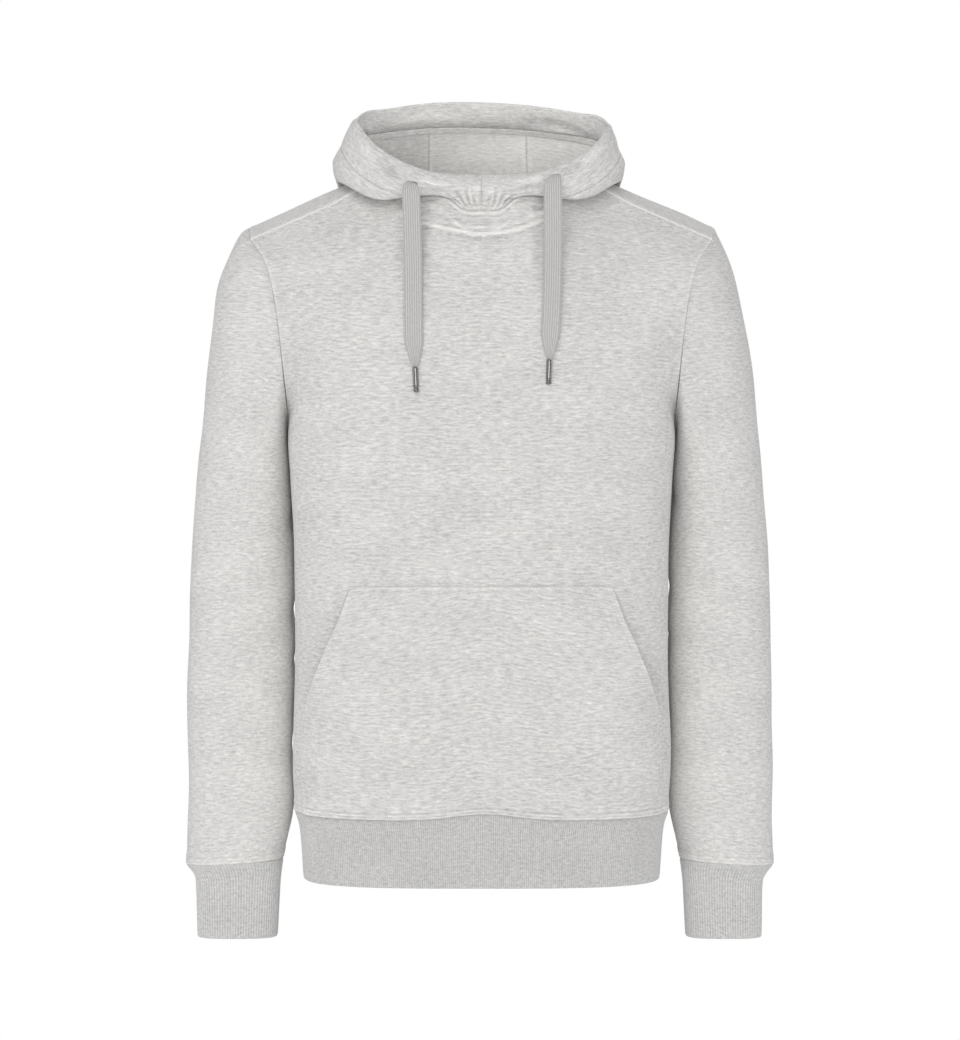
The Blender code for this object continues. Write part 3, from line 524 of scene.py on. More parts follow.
class Cloth:
    """A piece of cloth as a grid of outside points, with the offsets that shape its two sides."""

    def __init__(self, name, points, closed, facing):
        self.name = name
        self.closed = closed
        self.base = points
        self.out = directions(points, closed, facing)
        self.down = reach(points, 0)  # from the first row
        self.up = self.down[-1:] - self.down  # from the last row
        if closed:
            ring_length = reach(np.concatenate([points, points[:, :1]], axis=1), 1)
            self.along = ring_length[:, :-1]
            self.girth = ring_length[:, -1:]
        else:
            self.along = reach(points, 1)
            self.girth = self.along[:, -1:]
        self.left = self.along
        self.right = self.girth - self.along
        self.side = np.minimum(self.left, self.right)  # from the nearer side
        self.end = np.minimum(self.down, self.up)  # from the nearer end
        self.rise = np.zeros(points.shape[:2])
        self.sink = np.zeros(points.shape[:2])  # of the inside
        self.thick = np.full(points.shape[:2], WALL)
        self.least = 0.001  # of cloth that stays in a trough
        self.round_last = False  # whether the last row is a free edge
        self.courses = self.down  # place of a point up or down the flat cloth
        self.across = self.along if closed else self.along - self.girth / 2  # and its place across it
        # shade and under_shade hold painted light and shade: lighter on ridges, darker in grooves, seams,
        # folds and shadows
        self.shade = np.zeros(points.shape[:2])  # how much lighter its outside is than the cloth around
        self.under_shade = np.zeros(points.shape[:2])  # and its inside

    def outer(self):
        return self.base + self.out * self.rise[..., None]

    def inner(self):
        below = np.maximum(self.thick + self.sink, self.least - self.rise)
        return self.base - self.out * below[..., None]

    def build(self, material, node, slot):
        """The closed shell: outside, inside and the edges between them."""
        outer = self.outer()
        inner = self.inner()
        for grid in (outer, inner):
            grid[0] += unit(grid[1] - grid[0]) * KEEP_BACK
            if not self.round_last:
                grid[-1] += unit(grid[-2] - grid[-1]) * KEEP_BACK
            if not self.closed:
                grid[:, 0] += unit(grid[:, 1] - grid[:, 0]) * KEEP_BACK
                grid[:, -1] += unit(grid[:, -2] - grid[:, -1]) * KEEP_BACK
        across = np.broadcast_to(self.along.mean(axis=0), self.along.shape) if self.closed else self.across
        sheets = [outer, inner[::-1]]
        us = [across, across[::-1]]
        vs = [self.courses, self.courses[::-1]]
        if self.round_last:
            half = (outer[-1] - inner[-1]) / 2
            radius = np.linalg.norm(half, axis=1, keepdims=True)
            away = unit(outer[-1] - outer[-2])
            turns = math.pi * np.arange(1, EDGE_ROWS + 1)[:, None, None] / (EDGE_ROWS + 1)
            middle = (outer[-1] + inner[-1]) / 2
            sheets.insert(1, middle + np.cos(turns) * half + np.sin(turns) * radius * away)
            us.insert(1, np.tile(across[-1], (EDGE_ROWS, 1)))
            vs.insert(1, self.courses[-1] + (radius * turns)[..., 0])
        grid = np.concatenate(sheets)
        uv = np.stack([np.concatenate(us), np.concatenate(vs)], axis=2)
        if self.closed:
            uv = np.concatenate([uv, uv[:, :1] + (self.girth.mean(), 0)], axis=1)
        rows, columns = grid.shape[:2]
        numbers = np.arange(rows * columns).reshape(rows, columns)
        cells = np.arange(rows), np.arange(columns if self.closed else columns - 1)
        faces = patches(numbers, *cells)
        spots_at = patches(uv, *cells)
        if not self.closed:
            k = np.arange(len(outer) - 1)
            for column, way in ((0, 1), (-1, -1)):
                line = numbers[:, column]
                sides = np.stack([line[k], line[k + 1], line[rows - 2 - k], line[rows - 1 - k]], axis=1)
                faces = np.concatenate([faces, sides[:, ::way]])
                spots_at = np.concatenate([spots_at, np.repeat(uv[k, column][:, None], 4, axis=1)])
        self.piece = make_mesh(self.name, grid.reshape(-1, 3), faces, spots_at, material)
        # painted light and shade, on the outside and on the inside
        shade = np.zeros((rows, columns))
        shade[: len(outer)] = self.shade
        shade[-len(inner) :] = self.under_shade[::-1]
        set_shade(self.piece, shade)
        seat(self.piece, node)

    def trace(self, edge, distance, span=None, lift=0.0):
        """A line on the outside at a distance from the first or last row, or from the left or right side."""
        away = {"first": self.down, "last": self.up, "left": self.left, "right": self.right}[edge]
        points = self.outer()
        out = self.out
        if edge in ("left", "right"):
            points, out, away = points.transpose(1, 0, 2), out.transpose(1, 0, 2), away.T
        if edge in ("last", "right"):
            points, out, away = points[::-1], out[::-1], away[::-1]
        distance = np.broadcast_to(distance, points.shape[1:2])[None]
        both = np.stack([down_columns(distance, away, grid)[0] for grid in (points, out)])
        if span is not None:
            both = both[:, span]
        elif self.closed:
            both = np.concatenate([both, both[:, :1]], axis=1)
        ways = unit(both[1])
        return both[0] + ways * lift, ways

    def bend(self, fold):
        """Raises the outside, and the inside with it."""
        self.rise += fold
        self.sink -= fold

    def folds(self, table):
        """Ridges and troughs along lines that are given by x and z."""
        return fold_lines(self.base[..., 0], self.base[..., 2], table)

    def level_courses(self):
        """Turns the courses level, as far from the hem as they are at the middle column."""
        level = self.base[..., 2]
        self.courses = level + (self.down - level)[:, level.shape[1] // 2, None]


def place_stitches(name, lines, material, pitch=STITCH_PITCH, length=STITCH_LENGTH, width=THREAD, satin=False):
    """Stitches along lines on the cloth, or across them if satin, each a thread that dips in at both ends."""
    profile = ((-0.5, 0.35, -0.5), (-0.32, 0.95, 0.15), (0.0, 1.0, 0.3), (0.32, 0.95, 0.15), (0.5, 0.35, -0.5))
    sides = 5
    turn = np.arange(sides) * 2 * math.pi / sides
    template = []
    for along, size, lift in profile:
        for angle in turn:
            side = math.cos(angle) * size * width / 2
            rise = math.sin(angle) * size * width / 2 + lift * width * 0.7
            template.append((along * length, side, rise))
    template = np.array(template)
    quads = patches(np.arange(len(template)).reshape(-1, sides), np.arange(len(profile) - 1), np.arange(sides))
    all_points = []
    all_faces = []
    total = 0
    for line, ways in lines:
        along = lengths_along(line)
        count = max(1, int(along[-1] / pitch))
        at = (np.arange(count) + 0.5) * along[-1] / count
        centre = at_places(at, along, line)
        way = unit(at_places(at + length / 2, along, line) - at_places(at - length / 2, along, line))
        side = unit(np.cross(at_places(at, along, ways), way))
        out = np.cross(way, side)
        if satin:
            way, side = side, -way
        axes = np.stack([way, side, out], axis=1)
        points = centre[:, None] + np.einsum("kj,njc->nkc", template, axes)
        all_points.append(points.reshape(-1, 3))
        faces = quads[None] + (np.arange(count) * len(template))[:, None, None] + total
        all_faces.append(faces.reshape(-1, 4))
        total += count * len(template)
    seat(make_mesh(name, np.concatenate(all_points), np.concatenate(all_faces), None, material))


def fold_lines(across, height, folds):
    """Soft ridges, or troughs where the size is below 0, along lines, which fade at the lines' ends."""
    total = np.zeros_like(across)
    for line, width, size in folds:
        line = np.asarray(line, float)
        best = np.full(across.shape, math.inf)
        where = np.zeros(across.shape)
        starts = lengths_along(line)
        for k, a in enumerate(line[:-1]):
            way = line[k + 1] - a
            share = ((across - a[0]) * way[0] + (height - a[1]) * way[1]) / (way @ way)
            share = np.clip(share, 0, 1)
            gap = np.hypot(across - a[0] - share * way[0], height - a[1] - share * way[1])
            nearer = gap < best
            best = np.where(nearer, gap, best)
            where = np.where(nearer, (starts[k] + share * (starts[k + 1] - starts[k])) / starts[-1], where)
        total += size * np.exp(-((best / width) ** 2)) * np.sin(math.pi * np.clip(where, 0.02, 0.98)) ** 0.6
    return total


def sway(points, strength=1.0):
    """The uneven hang of soft cloth: a few long slanting waves."""
    waves = (
        (0.9, (5.3, 2.1, 2.9), 0.4), (0.7, (-3.1, 4.7, 5.9), 1.9), (0.6, (8.7, -3.3, 1.7), 3.1),
        (0.45, (2.3, 6.1, -9.1), 0.9), (0.3, (-11.9, 5.3, 7.7), 5.2), (0.25, (9.1, 8.3, 13.7), 2.2),
    )
    total = np.zeros(points.shape[:2])
    for size, way, start in waves:
        total += size * np.sin(2 * math.pi * (points @ np.array(way)) + start)
    return total * 0.00042 * strength


# Materials


def wire(tree, kind, inputs=None, **settings):
    """A node with its settings, its inputs by name or number, linked or set."""
    node = tree.nodes.new(kind)
    for key, value in settings.items():
        setattr(node, key, value)
    for key, value in (inputs or {}).items():
        socket = node.inputs[key]
        if isinstance(value, bpy.types.NodeSocket):
            tree.links.new(value, socket)
        else:
            socket.default_value = value
    return node


def spots(tree, where, scale, detail=2.0, roughness=0.5):
    """Noise stretched over the cloth: scale is in spots to a metre, along the courses and up the wales."""
    place = wire(tree, "ShaderNodeMapping", {"Vector": where, "Scale": (*scale, 1.0)}).outputs["Vector"]
    inputs = {"Vector": place, "Scale": 1.0, "Detail": detail, "Roughness": roughness}
    return wire(tree, "ShaderNodeTexNoise", inputs).outputs["Fac"]


def ranged(tree, value, low, high):
    """Noise, which is mostly between a quarter and three quarters, brought to this range."""
    inputs = {"Value": value, "From Min": 0.25, "From Max": 0.75, "To Min": low, "To Max": high}
    return wire(tree, "ShaderNodeMapRange", inputs).outputs["Result"]


def maths(tree, operation, first, second=0.0):
    return wire(tree, "ShaderNodeMath", {0: first, 1: second}, operation=operation).outputs[0]


def weighted(tree, *terms):
    """The sum of these values, each times its weight."""
    parts = [maths(tree, "MULTIPLY", value, weight) for value, weight in terms]
    total = parts[0]
    for part in parts[1:]:
        total = maths(tree, "ADD", total, part)
    return total


def new_look(name, roughness, sheen=0.0, **sockets):
    """A new material, its node tree and its shader."""
    material = bpy.data.materials.new(name)
    material.use_nodes = True
    tree = material.node_tree
    shader = tree.nodes["Principled BSDF"]
    shader.inputs["Roughness"].default_value = roughness
    shader.inputs["Sheen Weight"].default_value = sheen
    for key, value in sockets.items():
        shader.inputs[key.replace("_", " ")].default_value = value
    return material, tree, shader


def tint(tree, shader, colour, tone):
    """Gives the shader this colour, times the tone."""
    mixed = wire(tree, "ShaderNodeVectorMath", {0: colour, "Scale": tone}, operation="SCALE")
    tree.links.new(mixed.outputs["Vector"], shader.inputs["Base Color"])


def raise_bumps(tree, shader, height, strength, distance):
    bumps = wire(tree, "ShaderNodeBump", {"Height": height, "Strength": strength, "Distance": distance})
    tree.links.new(bumps.outputs["Normal"], shader.inputs["Normal"])


def speckle(tree, shader, colour, scale, detail, low, high):
    """Tints the shader through even noise over the piece, and returns the noise."""
    place = wire(tree, "ShaderNodeTexCoord").outputs["Object"]
    inputs = {"Vector": place, "Scale": scale, "Detail": detail}
    noise = wire(tree, "ShaderNodeTexNoise", inputs).outputs["Fac"]
    tint(tree, shader, colour, ranged(tree, noise, low, high))
    return noise


def on_cloth(tree):
    """The place on the flat cloth, its two parts, and the painted light and shade kept on its points."""
    where = wire(tree, "ShaderNodeUVMap", uv_map="cloth").outputs["UV"]
    parts = wire(tree, "ShaderNodeSeparateXYZ", {"Vector": where}).outputs
    painted_light = wire(tree, "ShaderNodeAttribute", attribute_name="shade").outputs["Fac"]
    return where, parts["X"], parts["Y"], painted_light


def melange(name, colour, streaks, contrast, wale, bump):
    """Grey knit of light and dark fibres: short streaks along the courses, fine fibres and faint wales."""
    sockets = {"Sheen_Roughness": 0.6, "Specular_IOR_Level": 0.15}
    material, tree, shader = new_look(name, 0.95, 0.25, **sockets)
    where, across, up, painted_light = on_cloth(tree)
    finer = (streaks[0] * 2.6, streaks[1] * 1.7)
    layers = ((streaks, 3.0, 0.6), (finer, 2.0, 0.6), ((14.0, 30.0), 2.0, 0.5))
    layers = [ranged(tree, spots(tree, where, *layer), -1.0, 1.0) for layer in layers]
    tone = weighted(tree, *zip(layers, contrast))
    # the cloth's colour, times its streaks and its painted light and shade
    tint(tree, shader, colour, maths(tree, "ADD", tone, maths(tree, "ADD", painted_light, 1.0)))
    ridge = maths(tree, "SINE", maths(tree, "MULTIPLY", across, 2 * math.pi / wale))
    course = maths(tree, "SINE", maths(tree, "MULTIPLY", up, 2 * math.pi / (wale * 0.8)))
    fuzz = spots(tree, where, (900.0, 1300.0), 2.0, 0.6)
    raise_bumps(tree, shader, weighted(tree, (ridge, 0.35), (fuzz, 1.2), (course, 0.18)), bump, 0.00025)
    return material


def thread_look(name, colour):
    material, tree, shader = new_look(name, 0.7, 0.2)
    raise_bumps(tree, shader, speckle(tree, shader, colour, 1400.0, 2.0, 0.86, 1.08), 0.4, 0.0001)
    return material


def braid_look(name, colour):
    """Flat braid: slanting plaits along the cord and fine fibres."""
    material, tree, shader = new_look(name, 0.85, 0.2, Specular_IOR_Level=0.2)
    where, across, up, painted_light = on_cloth(tree)
    plait = maths(tree, "SINE", weighted(tree, (across, 2400.0), (up, 4200.0)))
    fibre = spots(tree, where, (2200.0, 260.0), 2.0, 0.6)
    tone = maths(tree, "ADD", maths(tree, "MULTIPLY", plait, 0.045), ranged(tree, fibre, 0.86, 1.12))
    # the braid's colour, times its plaits and fibres and its painted light and shade
    tint(tree, shader, colour, maths(tree, "ADD", tone, painted_light))
    raise_bumps(tree, shader, maths(tree, "ADD", maths(tree, "MULTIPLY", plait, 0.5), fibre), 0.5, 0.0002)
    return material


def metal_look(name, colour):
    material, tree, shader = new_look(name, 0.5, Metallic=1.0)
    noise = speckle(tree, shader, colour, 600.0, 3.0, 0.85, 1.15)
    tree.links.new(ranged(tree, noise, 0.22, 0.38), shader.inputs["Roughness"])
    return material


FLEECE = (0.69, 0.68, 0.665)
RIB = (0.585, 0.58, 0.57)
STREAKS = (105.0, 470.0)
CONTRAST = (0.26, 0.14, 0.06)
fleece = melange("grey_melange_fleece", FLEECE, STREAKS, CONTRAST, 0.0013, 0.5)
lining = melange("grey_melange_hood", FLEECE, STREAKS, CONTRAST, 0.0022, 0.6)
rib_knit = melange("grey_melange_rib", RIB, (180.0, 420.0), (0.2, 0.15, 0.04), 0.0011, 0.5)
thread = thread_look("pale_thread", (0.83, 0.82, 0.8))
# a whiter copy of the pale thread: painted highlight on the ridge along the shoulder seams
thread_painted_highlight = thread_look("thread_painted_highlight", (0.95, 0.945, 0.93))
# a darker copy of the pale thread: painted shade for the stitches in the tunnel's groove
thread_in_shade = thread_look("thread_painted_in_shade", (0.56, 0.555, 0.545))
buttonhole_thread = thread_look("buttonhole_thread", (0.74, 0.735, 0.72))
braid = braid_look("grey_braid", (0.585, 0.58, 0.568))
metal = metal_look("dark_metal", (0.235, 0.235, 0.24))
# a dark sheet that stands for the shade inside a buttonhole: painted shadow
dark = thread_look("painted_shadow_in_hole", (0.13, 0.13, 0.125))

# Camera, then the drawcords
camera_data = bpy.data.cameras.new("camera")
camera = bpy.data.objects.new("camera", camera_data)
bpy.context.scene.collection.objects.link(camera)
camera.location = (-0.0015, -3.0, -0.335)
camera.rotation_euler = (math.radians(90), 0, 0)
camera_data.sensor_fit = "VERTICAL"
camera_data.sensor_height = 36.0
camera_data.lens = 3093 * 36 / 1040  # a focal length of 3093 pixels in a frame 1040 high
camera_data.clip_start = 0.05
camera_data.clip_end = 50
bpy.context.scene.camera = camera


def section_frames(line):
    """Unit vectors across a cord that faces the front, and out of its face."""
    along = unit(np.gradient(line, axis=0))
    sideways = unit(np.cross(along, (0, -1, 0)))
    return sideways, np.cross(sideways, along)


def capped_tube(name, rings, uv_rings, material):
    """A closed tube through rings of points, with a flat cap at each end."""
    rows, count = rings.shape[:2]
    numbers = np.arange(rows * count).reshape(rows, count)
    cells = np.arange(rows - 1), np.arange(count)
    k = np.arange(count // 2 - 1)
    faces = [patches(numbers, *cells)]
    spots_at = [patches(uv_rings, *cells)]
    for row, way in ((0, -1), (-1, 1)):
        line = numbers[row]
        cap = np.stack([line[k], line[k + 1], line[count - 2 - k], line[count - 1 - k]], axis=1)
        faces.append(cap[:, ::way])
        spots_at.append(np.repeat(uv_rings[row, k][:, None], 4, axis=1))
    return make_mesh(name, rings.reshape(-1, 3), np.concatenate(faces), np.concatenate(spots_at), material)


def make_cord(side, route, bunched_to):
    """A flat braided cord with lengthwise ribs, and its metal tip."""
    dense = blend(np.arange(len(route)), route, np.linspace(0, len(route) - 1, 600))
    line = at_shares(dense, np.linspace(0, 1, CORD_ROWS + 1))
    sideways, out = section_frames(line)
    length = lengths_along(line)[-1]
    left_over = np.linspace(length, 0, CORD_ROWS + 1)
    share = np.clip(left_over / CORD_TAPER, 0, 1)
    half_width = (CORD_NARROW + (CORD_WIDTH - CORD_NARROW) * share**0.8) / 2
    bunched = (1 - np.clip((length - left_over) / CORD_BUNCHED, 0, 1)) ** 2
    half_width *= 1 - 0.46 * bunched
    half_thick = CORD_THICKNESS / 2 * (1 + 0.25 * (1 - share) + 0.3 * bunched)
    line = line + sideways * (bunched * bunched_to * CORD_WIDTH)[:, None]
    across = np.linspace(-1, 1, CORD_RIBS * 8 + 1)
    height = (1 - np.abs(across) ** 5) ** 0.5
    grooves = 0.34 * (0.5 - 0.5 * np.cos(math.pi * (across + 1) * CORD_RIBS))
    face_x = np.concatenate([across, across[-2:0:-1]])
    height *= 1 - grooves
    face_y = np.concatenate([height, -height[-2:0:-1]])
    rings = line[:, None] + face_x[None, :, None] * (sideways * half_width[:, None])[:, None]
    rings = rings + face_y[None, :, None] * (out * half_thick[:, None])[:, None]
    u = np.cumsum(np.concatenate([[0], np.abs(np.diff(np.append(face_x, face_x[0])))])) * CORD_WIDTH / 2
    v = np.linspace(0, length, CORD_ROWS + 1)
    uv = np.stack(np.meshgrid(u, v), axis=2)
    cord = capped_tube("drawcord_" + side + "_braid", rings, uv, braid)
    # painted shade in the cord's grooves and at its edges, and a little painted light over the whole cord
    painted_groove_shade = -grooves - 0.16 * np.abs(across) ** 12
    set_shade(cord, np.tile(np.concatenate([painted_groove_shade, painted_groove_shade[-2:0:-1]]) + 0.1, CORD_ROWS + 1))

    way = unit(line[-1] - line[-2])
    start = line[-1] + way * SEAM_GAP
    beside = unit(np.cross(way, (0, -1, 0)))
    outward = np.cross(beside, way)
    # (place along the tip, share of its radius): a rim, the tube, the groove near its end and a round end
    profile = [(0.0, 0.8), (0.00015, 0.9), (0.0005, 0.99), (0.0011, 1.0)]
    neck = ((0.0062, 1.0), (0.0056, 0.99), (0.0051, 0.87), (0.0045, 0.84), (0.004, 0.92))
    profile += [(TIP_LENGTH - from_end, size) for from_end, size in neck]
    for k in range(9):
        turn = math.pi * (0.12 + 0.85 * k / 8)
        profile.append((TIP_LENGTH - 0.0019 - 0.0019 * math.cos(turn), 1.06 * math.sin(turn) ** 0.7))
    turn = np.linspace(0, 2 * math.pi, 32, endpoint=False)
    spokes = np.cos(turn)[:, None] * beside + np.sin(turn)[:, None] * outward
    rings = np.array([start + way * at + spokes * TIP_RADIUS * size for at, size in profile])
    u = np.linspace(0, 2 * math.pi * TIP_RADIUS, 33)
    v = np.array([at for at, size in profile])
    uv = np.stack(np.meshgrid(u, v), axis=2)
    tip = capped_tube("aglet_" + side + "_metal", rings, uv, metal)
    seat(cord, "drawcord_" + side)
    seat(tip, "aglet_" + side)


make_cord("left", CORD_LEFT, 0.05)
make_cord("right", CORD_RIGHT, -0.22)

# Relief beside the seams, and painted light and shade on it


STITCH_ROWS = (0.0033, 0.0068)  # from a seam to its two rows of stitches


def topstitched(away, height=0.0008, rows=STITCH_ROWS):
    """Beside a seam with twin topstitching: the allowance under the cloth lifts it, the threads pull it in."""
    lifted = smooth(away, 0, 0.0012) * (1 - smooth(away, 0.0082, 0.0125))
    pulled = hump(away, rows[0], 0.0006) + 1.25 * hump(away, rows[1], 0.0007)
    return height * lifted - 0.0006 * pulled - 0.0004 * (1 - smooth(away, 0, 0.0011))


def stitched_shade(away, strength=1.0):
    """Painted highlights on the ridges between twin topstitches and the seam, and painted shade in the grooves
    at the stitches and at the seam itself.
    """
    first, second = STITCH_ROWS
    light = 0.15 * hump(away, first * 0.55, 0.0009) + 0.13 * hump(away, (first + second) / 2, 0.001)
    dark_part = 0.06 * hump(away, first, 0.0005) + 0.13 * hump(away, second, 0.0007)
    return strength * (light - dark_part - 0.1 * (1 - smooth(away, 0, 0.0009)))


def plain_seam(away, height=0.0004, deep=0.0004):
    """Beside a seam with no stitches on top: a groove with a soft shoulder."""
    return height * hump(away, 0.0026, 0.0022) - deep * (1 - smooth(away, 0, 0.0016))


# Body
BODY_ROW = 0.0435  # height of the first row of a body panel
FRONT_TOP_ROW = 0.016  # and of the last one of the front
BACK_TOP_ROW = 0.03
SHOULDER_ROW = 14.0  # from which the back panel slopes forward over the shoulders
SIDE_COLUMN = 0.0155  # width of the columns at its sides
BOTTOM_ROWS = np.concatenate([NEAR_SEAM / BODY_ROW, (0.52, 0.64, 0.76, 0.88), np.arange(1, ARMPIT, 0.125)])
SIDE_COLUMNS = NEAR_PLAIN_SEAM / SIDE_COLUMN

rows = np.concatenate([
    BOTTOM_ROWS, np.arange(ARMPIT, 15.4, 1 / 3), np.arange(15.5, 17.75, 0.125),
    TOP - (NEAR_SEAM / FRONT_TOP_ROW)[::-1],
])
front_at = both_ends(-FRONT_HALF, FRONT_HALF, SIDE_COLUMNS, 0.25)
front_at = np.unique(np.concatenate([front_at, np.arange(-56, 57) / 8]))
front = Cloth("body_front_fleece", front_panel(rows, front_at), False, 1)
NECK_STITCHES = (
    # (x, z) of the twin topstitching round the neck of the front, under the hood
    (
        (-0.0965, -0.03), (-0.0912, -0.034), (-0.0775, -0.0455), (-0.0576, -0.0546), (-0.0398, -0.06),
        (-0.0221, -0.0635), (-0.0088, -0.0663), (0.0041, -0.0663), (0.0172, -0.0649), (0.0342, -0.0622),
        (0.0524, -0.055), (0.067, -0.0462), (0.0755, -0.0405), (0.0905, -0.0313),
    ),
    (
        (-0.0925, -0.026), (-0.087, -0.0318), (-0.0747, -0.0423), (-0.054, -0.0504), (-0.0342, -0.0541),
        (-0.0182, -0.0584), (-0.0014, -0.0602), (0.0173, -0.0588), (0.0324, -0.055), (0.0483, -0.0494),
        (0.0624, -0.0419), (0.0709, -0.0372), (0.0858, -0.0297),
    ),
)
FRONT_FOLDS = (
    # (x, z) of its line, width, height
    (NECK_STITCHES[0], 0.0021, 0.001),
    (NECK_STITCHES[1], 0.0019, 0.0008),
    (((-0.052, -0.0625), (-0.024, -0.0705), (0.0, -0.072), (0.028, -0.069), (0.052, -0.06)), 0.0045, -0.001),
    (((0.046, -0.04), (0.056, -0.0405), (0.064, -0.0385)), 0.0022, -0.0014),
    (((-0.056, -0.033), (-0.04, -0.031)), 0.0026, -0.0008),
    (((-0.15, -0.215), (-0.128, -0.245), (-0.112, -0.262)), 0.016, -0.001),
    (((0.156, -0.205), (0.136, -0.238), (0.118, -0.258)), 0.015, -0.0011),
    (((-0.165, -0.5), (-0.15, -0.54), (-0.14, -0.585)), 0.012, -0.0008),
    (((0.168, -0.47), (0.158, -0.515), (0.16, -0.575)), 0.011, -0.0009),
)
front.rise += topstitched(front.down)
front.rise += plain_seam(front.up, 0.0005)
front.rise += plain_seam(front.side)
front.rise += sway(front.base) * smooth(np.minimum(front.side, front.end), 0.004, 0.05)
front.rise += front.folds(FRONT_FOLDS)


def lifted_line(line, lift):
    return tuple((x, z + lift) for x, z in line)


NECK_SHADES = (
    # line, width, how much lighter: painted highlights on the puffed ridges between the twin stitches, painted
    # shade in the folds beside them, and painted shadows of the drawcords
    (NECK_STITCHES[0], 0.0018, 0.44), (lifted_line(NECK_STITCHES[0], 0.0031), 0.0012, -0.18),
    (lifted_line(NECK_STITCHES[0], -0.0036), 0.0018, -0.2), (NECK_STITCHES[1], 0.0015, 0.34),
    (lifted_line(NECK_STITCHES[1], 0.0034), 0.0016, -0.16),
    (((0.046, -0.04), (0.056, -0.0405), (0.064, -0.0385)), 0.0016, -0.3),
    (((0.038, -0.045), (0.05, -0.0465), (0.064, -0.044)), 0.0024, 0.14),
    (((-0.056, -0.033), (-0.04, -0.031)), 0.0022, -0.14),
    (((-0.0525, -0.03), (-0.0525, -0.085), (-0.053, -0.13)), 0.005, -0.17),
    (((0.0535, -0.035), (0.0535, -0.085), (0.054, -0.125)), 0.005, -0.14),
    (((-0.0765, -0.048), (-0.0765, -0.125)), 0.0038, -0.08),
    (((0.0785, -0.042), (0.0785, -0.115)), 0.0038, -0.07),
)
# painted light at the top of the front: under the hood a highlight and a shade line beside the neck seam,
# along the shoulder seams a highlight at the seam and a shade line below it
at_neck = 1 - smooth(np.abs(front_at), FRONT_NECK - 0.6, FRONT_NECK - 0.1)
beside_neck = 0.14 * (1 - smooth(front.up, 0.0004, 0.0018)) - 0.05 * hump(front.up, 0.004, 0.0014)
front.shade += front.folds(NECK_SHADES)
front.shade += at_neck * (0.2 * hump(front.up, 0.0034, 0.0012) - 0.14 * hump(front.up, 0.0063, 0.001))
front.shade += (1 - at_neck) * beside_neck
front.shade += stitched_shade(front.down)
# painted highlight on the front's edge beside the armhole seams
front.shade += 0.12 * hump(front.side, 0.0014, 0.0012)
MOUTH_SHADES = (
    # (x, z) of its line, width, how much darker: the painted shadow on the front beside a mouth of the pocket
    (((0.134, -0.408), (0.146, -0.442), (0.16, -0.478), (0.17, -0.506), (0.178, -0.53)), 0.0062, -0.1),
    (((-0.134, -0.405), (-0.147, -0.44), (-0.161, -0.478), (-0.171, -0.506)), 0.009, -0.04),
)
front.shade += front.folds(MOUTH_SHADES)
front.level_courses()

BACK_FOLDS = (
    # (x, z) of its line, width, height
    (((-0.176, -0.205), (-0.14, -0.232), (-0.095, -0.245)), 0.015, -0.002),
    (((0.178, -0.195), (0.146, -0.226), (0.108, -0.243)), 0.014, -0.0018),
    (((-0.168, -0.255), (-0.13, -0.272)), 0.011, -0.0012),
    (((0.17, -0.262), (0.138, -0.283), (0.112, -0.288)), 0.012, -0.0013),
    (((-0.06, -0.395), (-0.005, -0.408), (0.052, -0.398)), 0.015, -0.0012),
    (((-0.1, -0.47), (-0.046, -0.486), (0.01, -0.482)), 0.014, -0.0013),
    (((0.024, -0.515), (0.078, -0.52), (0.118, -0.508)), 0.013, -0.0012),
    (((-0.15, -0.545), (-0.12, -0.57), (-0.088, -0.588)), 0.012, -0.0012),
    (((0.152, -0.552), (0.126, -0.58)), 0.011, -0.001),
)
rows = np.concatenate([
    BOTTOM_ROWS, np.arange(ARMPIT, TOP - 0.85, 0.25), TOP - (NEAR_SEAM / BACK_TOP_ROW)[::-1],
])
back_at = both_ends(-BACK_HALF, BACK_HALF, SIDE_COLUMNS, 0.25)
back = Cloth("body_back_fleece", back_panel(rows, back_at), False, -1)
fade = smooth(np.minimum(back.side, back.end), 0.004, 0.05)
back.rise += topstitched(back.down) + topstitched(back.up)
back.rise += plain_seam(back.side)
back.rise += sway(back.base, 1.2) * fade
back.bend(back.folds(BACK_FOLDS) * fade * 1.6)
back.shade += stitched_shade(back.down) + stitched_shade(back.up, 0.8)
back.level_courses()
over = int(np.searchsorted(rows, SHOULDER_ROW))
back.courses[over:] = back.courses[over] + back.down[over:] - back.down[over]
# painted highlight on the back's edge beside the armhole seams
back.shade += 0.08 * hump(back.side, 0.0014, 0.001)

front.build(fleece, "body_front", "fleece")
back.build(fleece, "body_back", "fleece")

# Ribs
# painted light on the ribs: highlights on their ridges, painted shade between them
RIB_SHADE = 0.18
RIB_RISE = 0.00042
RIB_TIMES = 40  # points of the hem rib to a column of the panels above, four to a rib
CUFF_TIMES = 15  # the same for a cuff and a column of its sleeve
HEM_ROW = 0.0105  # height of its first row
CUFF_ROW = 0.01


def knit_rib(name, points, facing, lighter):
    """A tube of rib, four points to a rib, that starts at a seam and ends in a fold."""
    tube = Cloth(name + "_knit", points, True, facing)
    wave = np.cos(np.arange(points.shape[1]) * math.pi / 2)[None]
    grow = smooth(tube.down, 0.0006, 0.004)
    tube.rise += RIB_RISE * wave * grow * smooth(tube.up, -0.002, 0.002)
    tube.rise += plain_seam(tube.down, 0.0002)
    tube.sink += -0.0002 * wave * grow
    # painted highlights on the ribs, painted shade between them, and an even painted lightening of the whole
    # tube
    tube.shade += RIB_SHADE * wave * grow + lighter
    tube.thick += 0.0002
    tube.round_last = True
    tube.build(rib_knit, name, "rib")
    return tube


hem_rows = np.asarray((0, 0.0005, 0.0011, 0.002, 0.0034, 0.0055, 0.008)) / HEM_ROW
hem_rib = knit_rib("hem_rib", hem(np.concatenate([hem_rows, np.arange(1, 2.001, 0.1)]), RIB_TIMES), -1, 0.01)

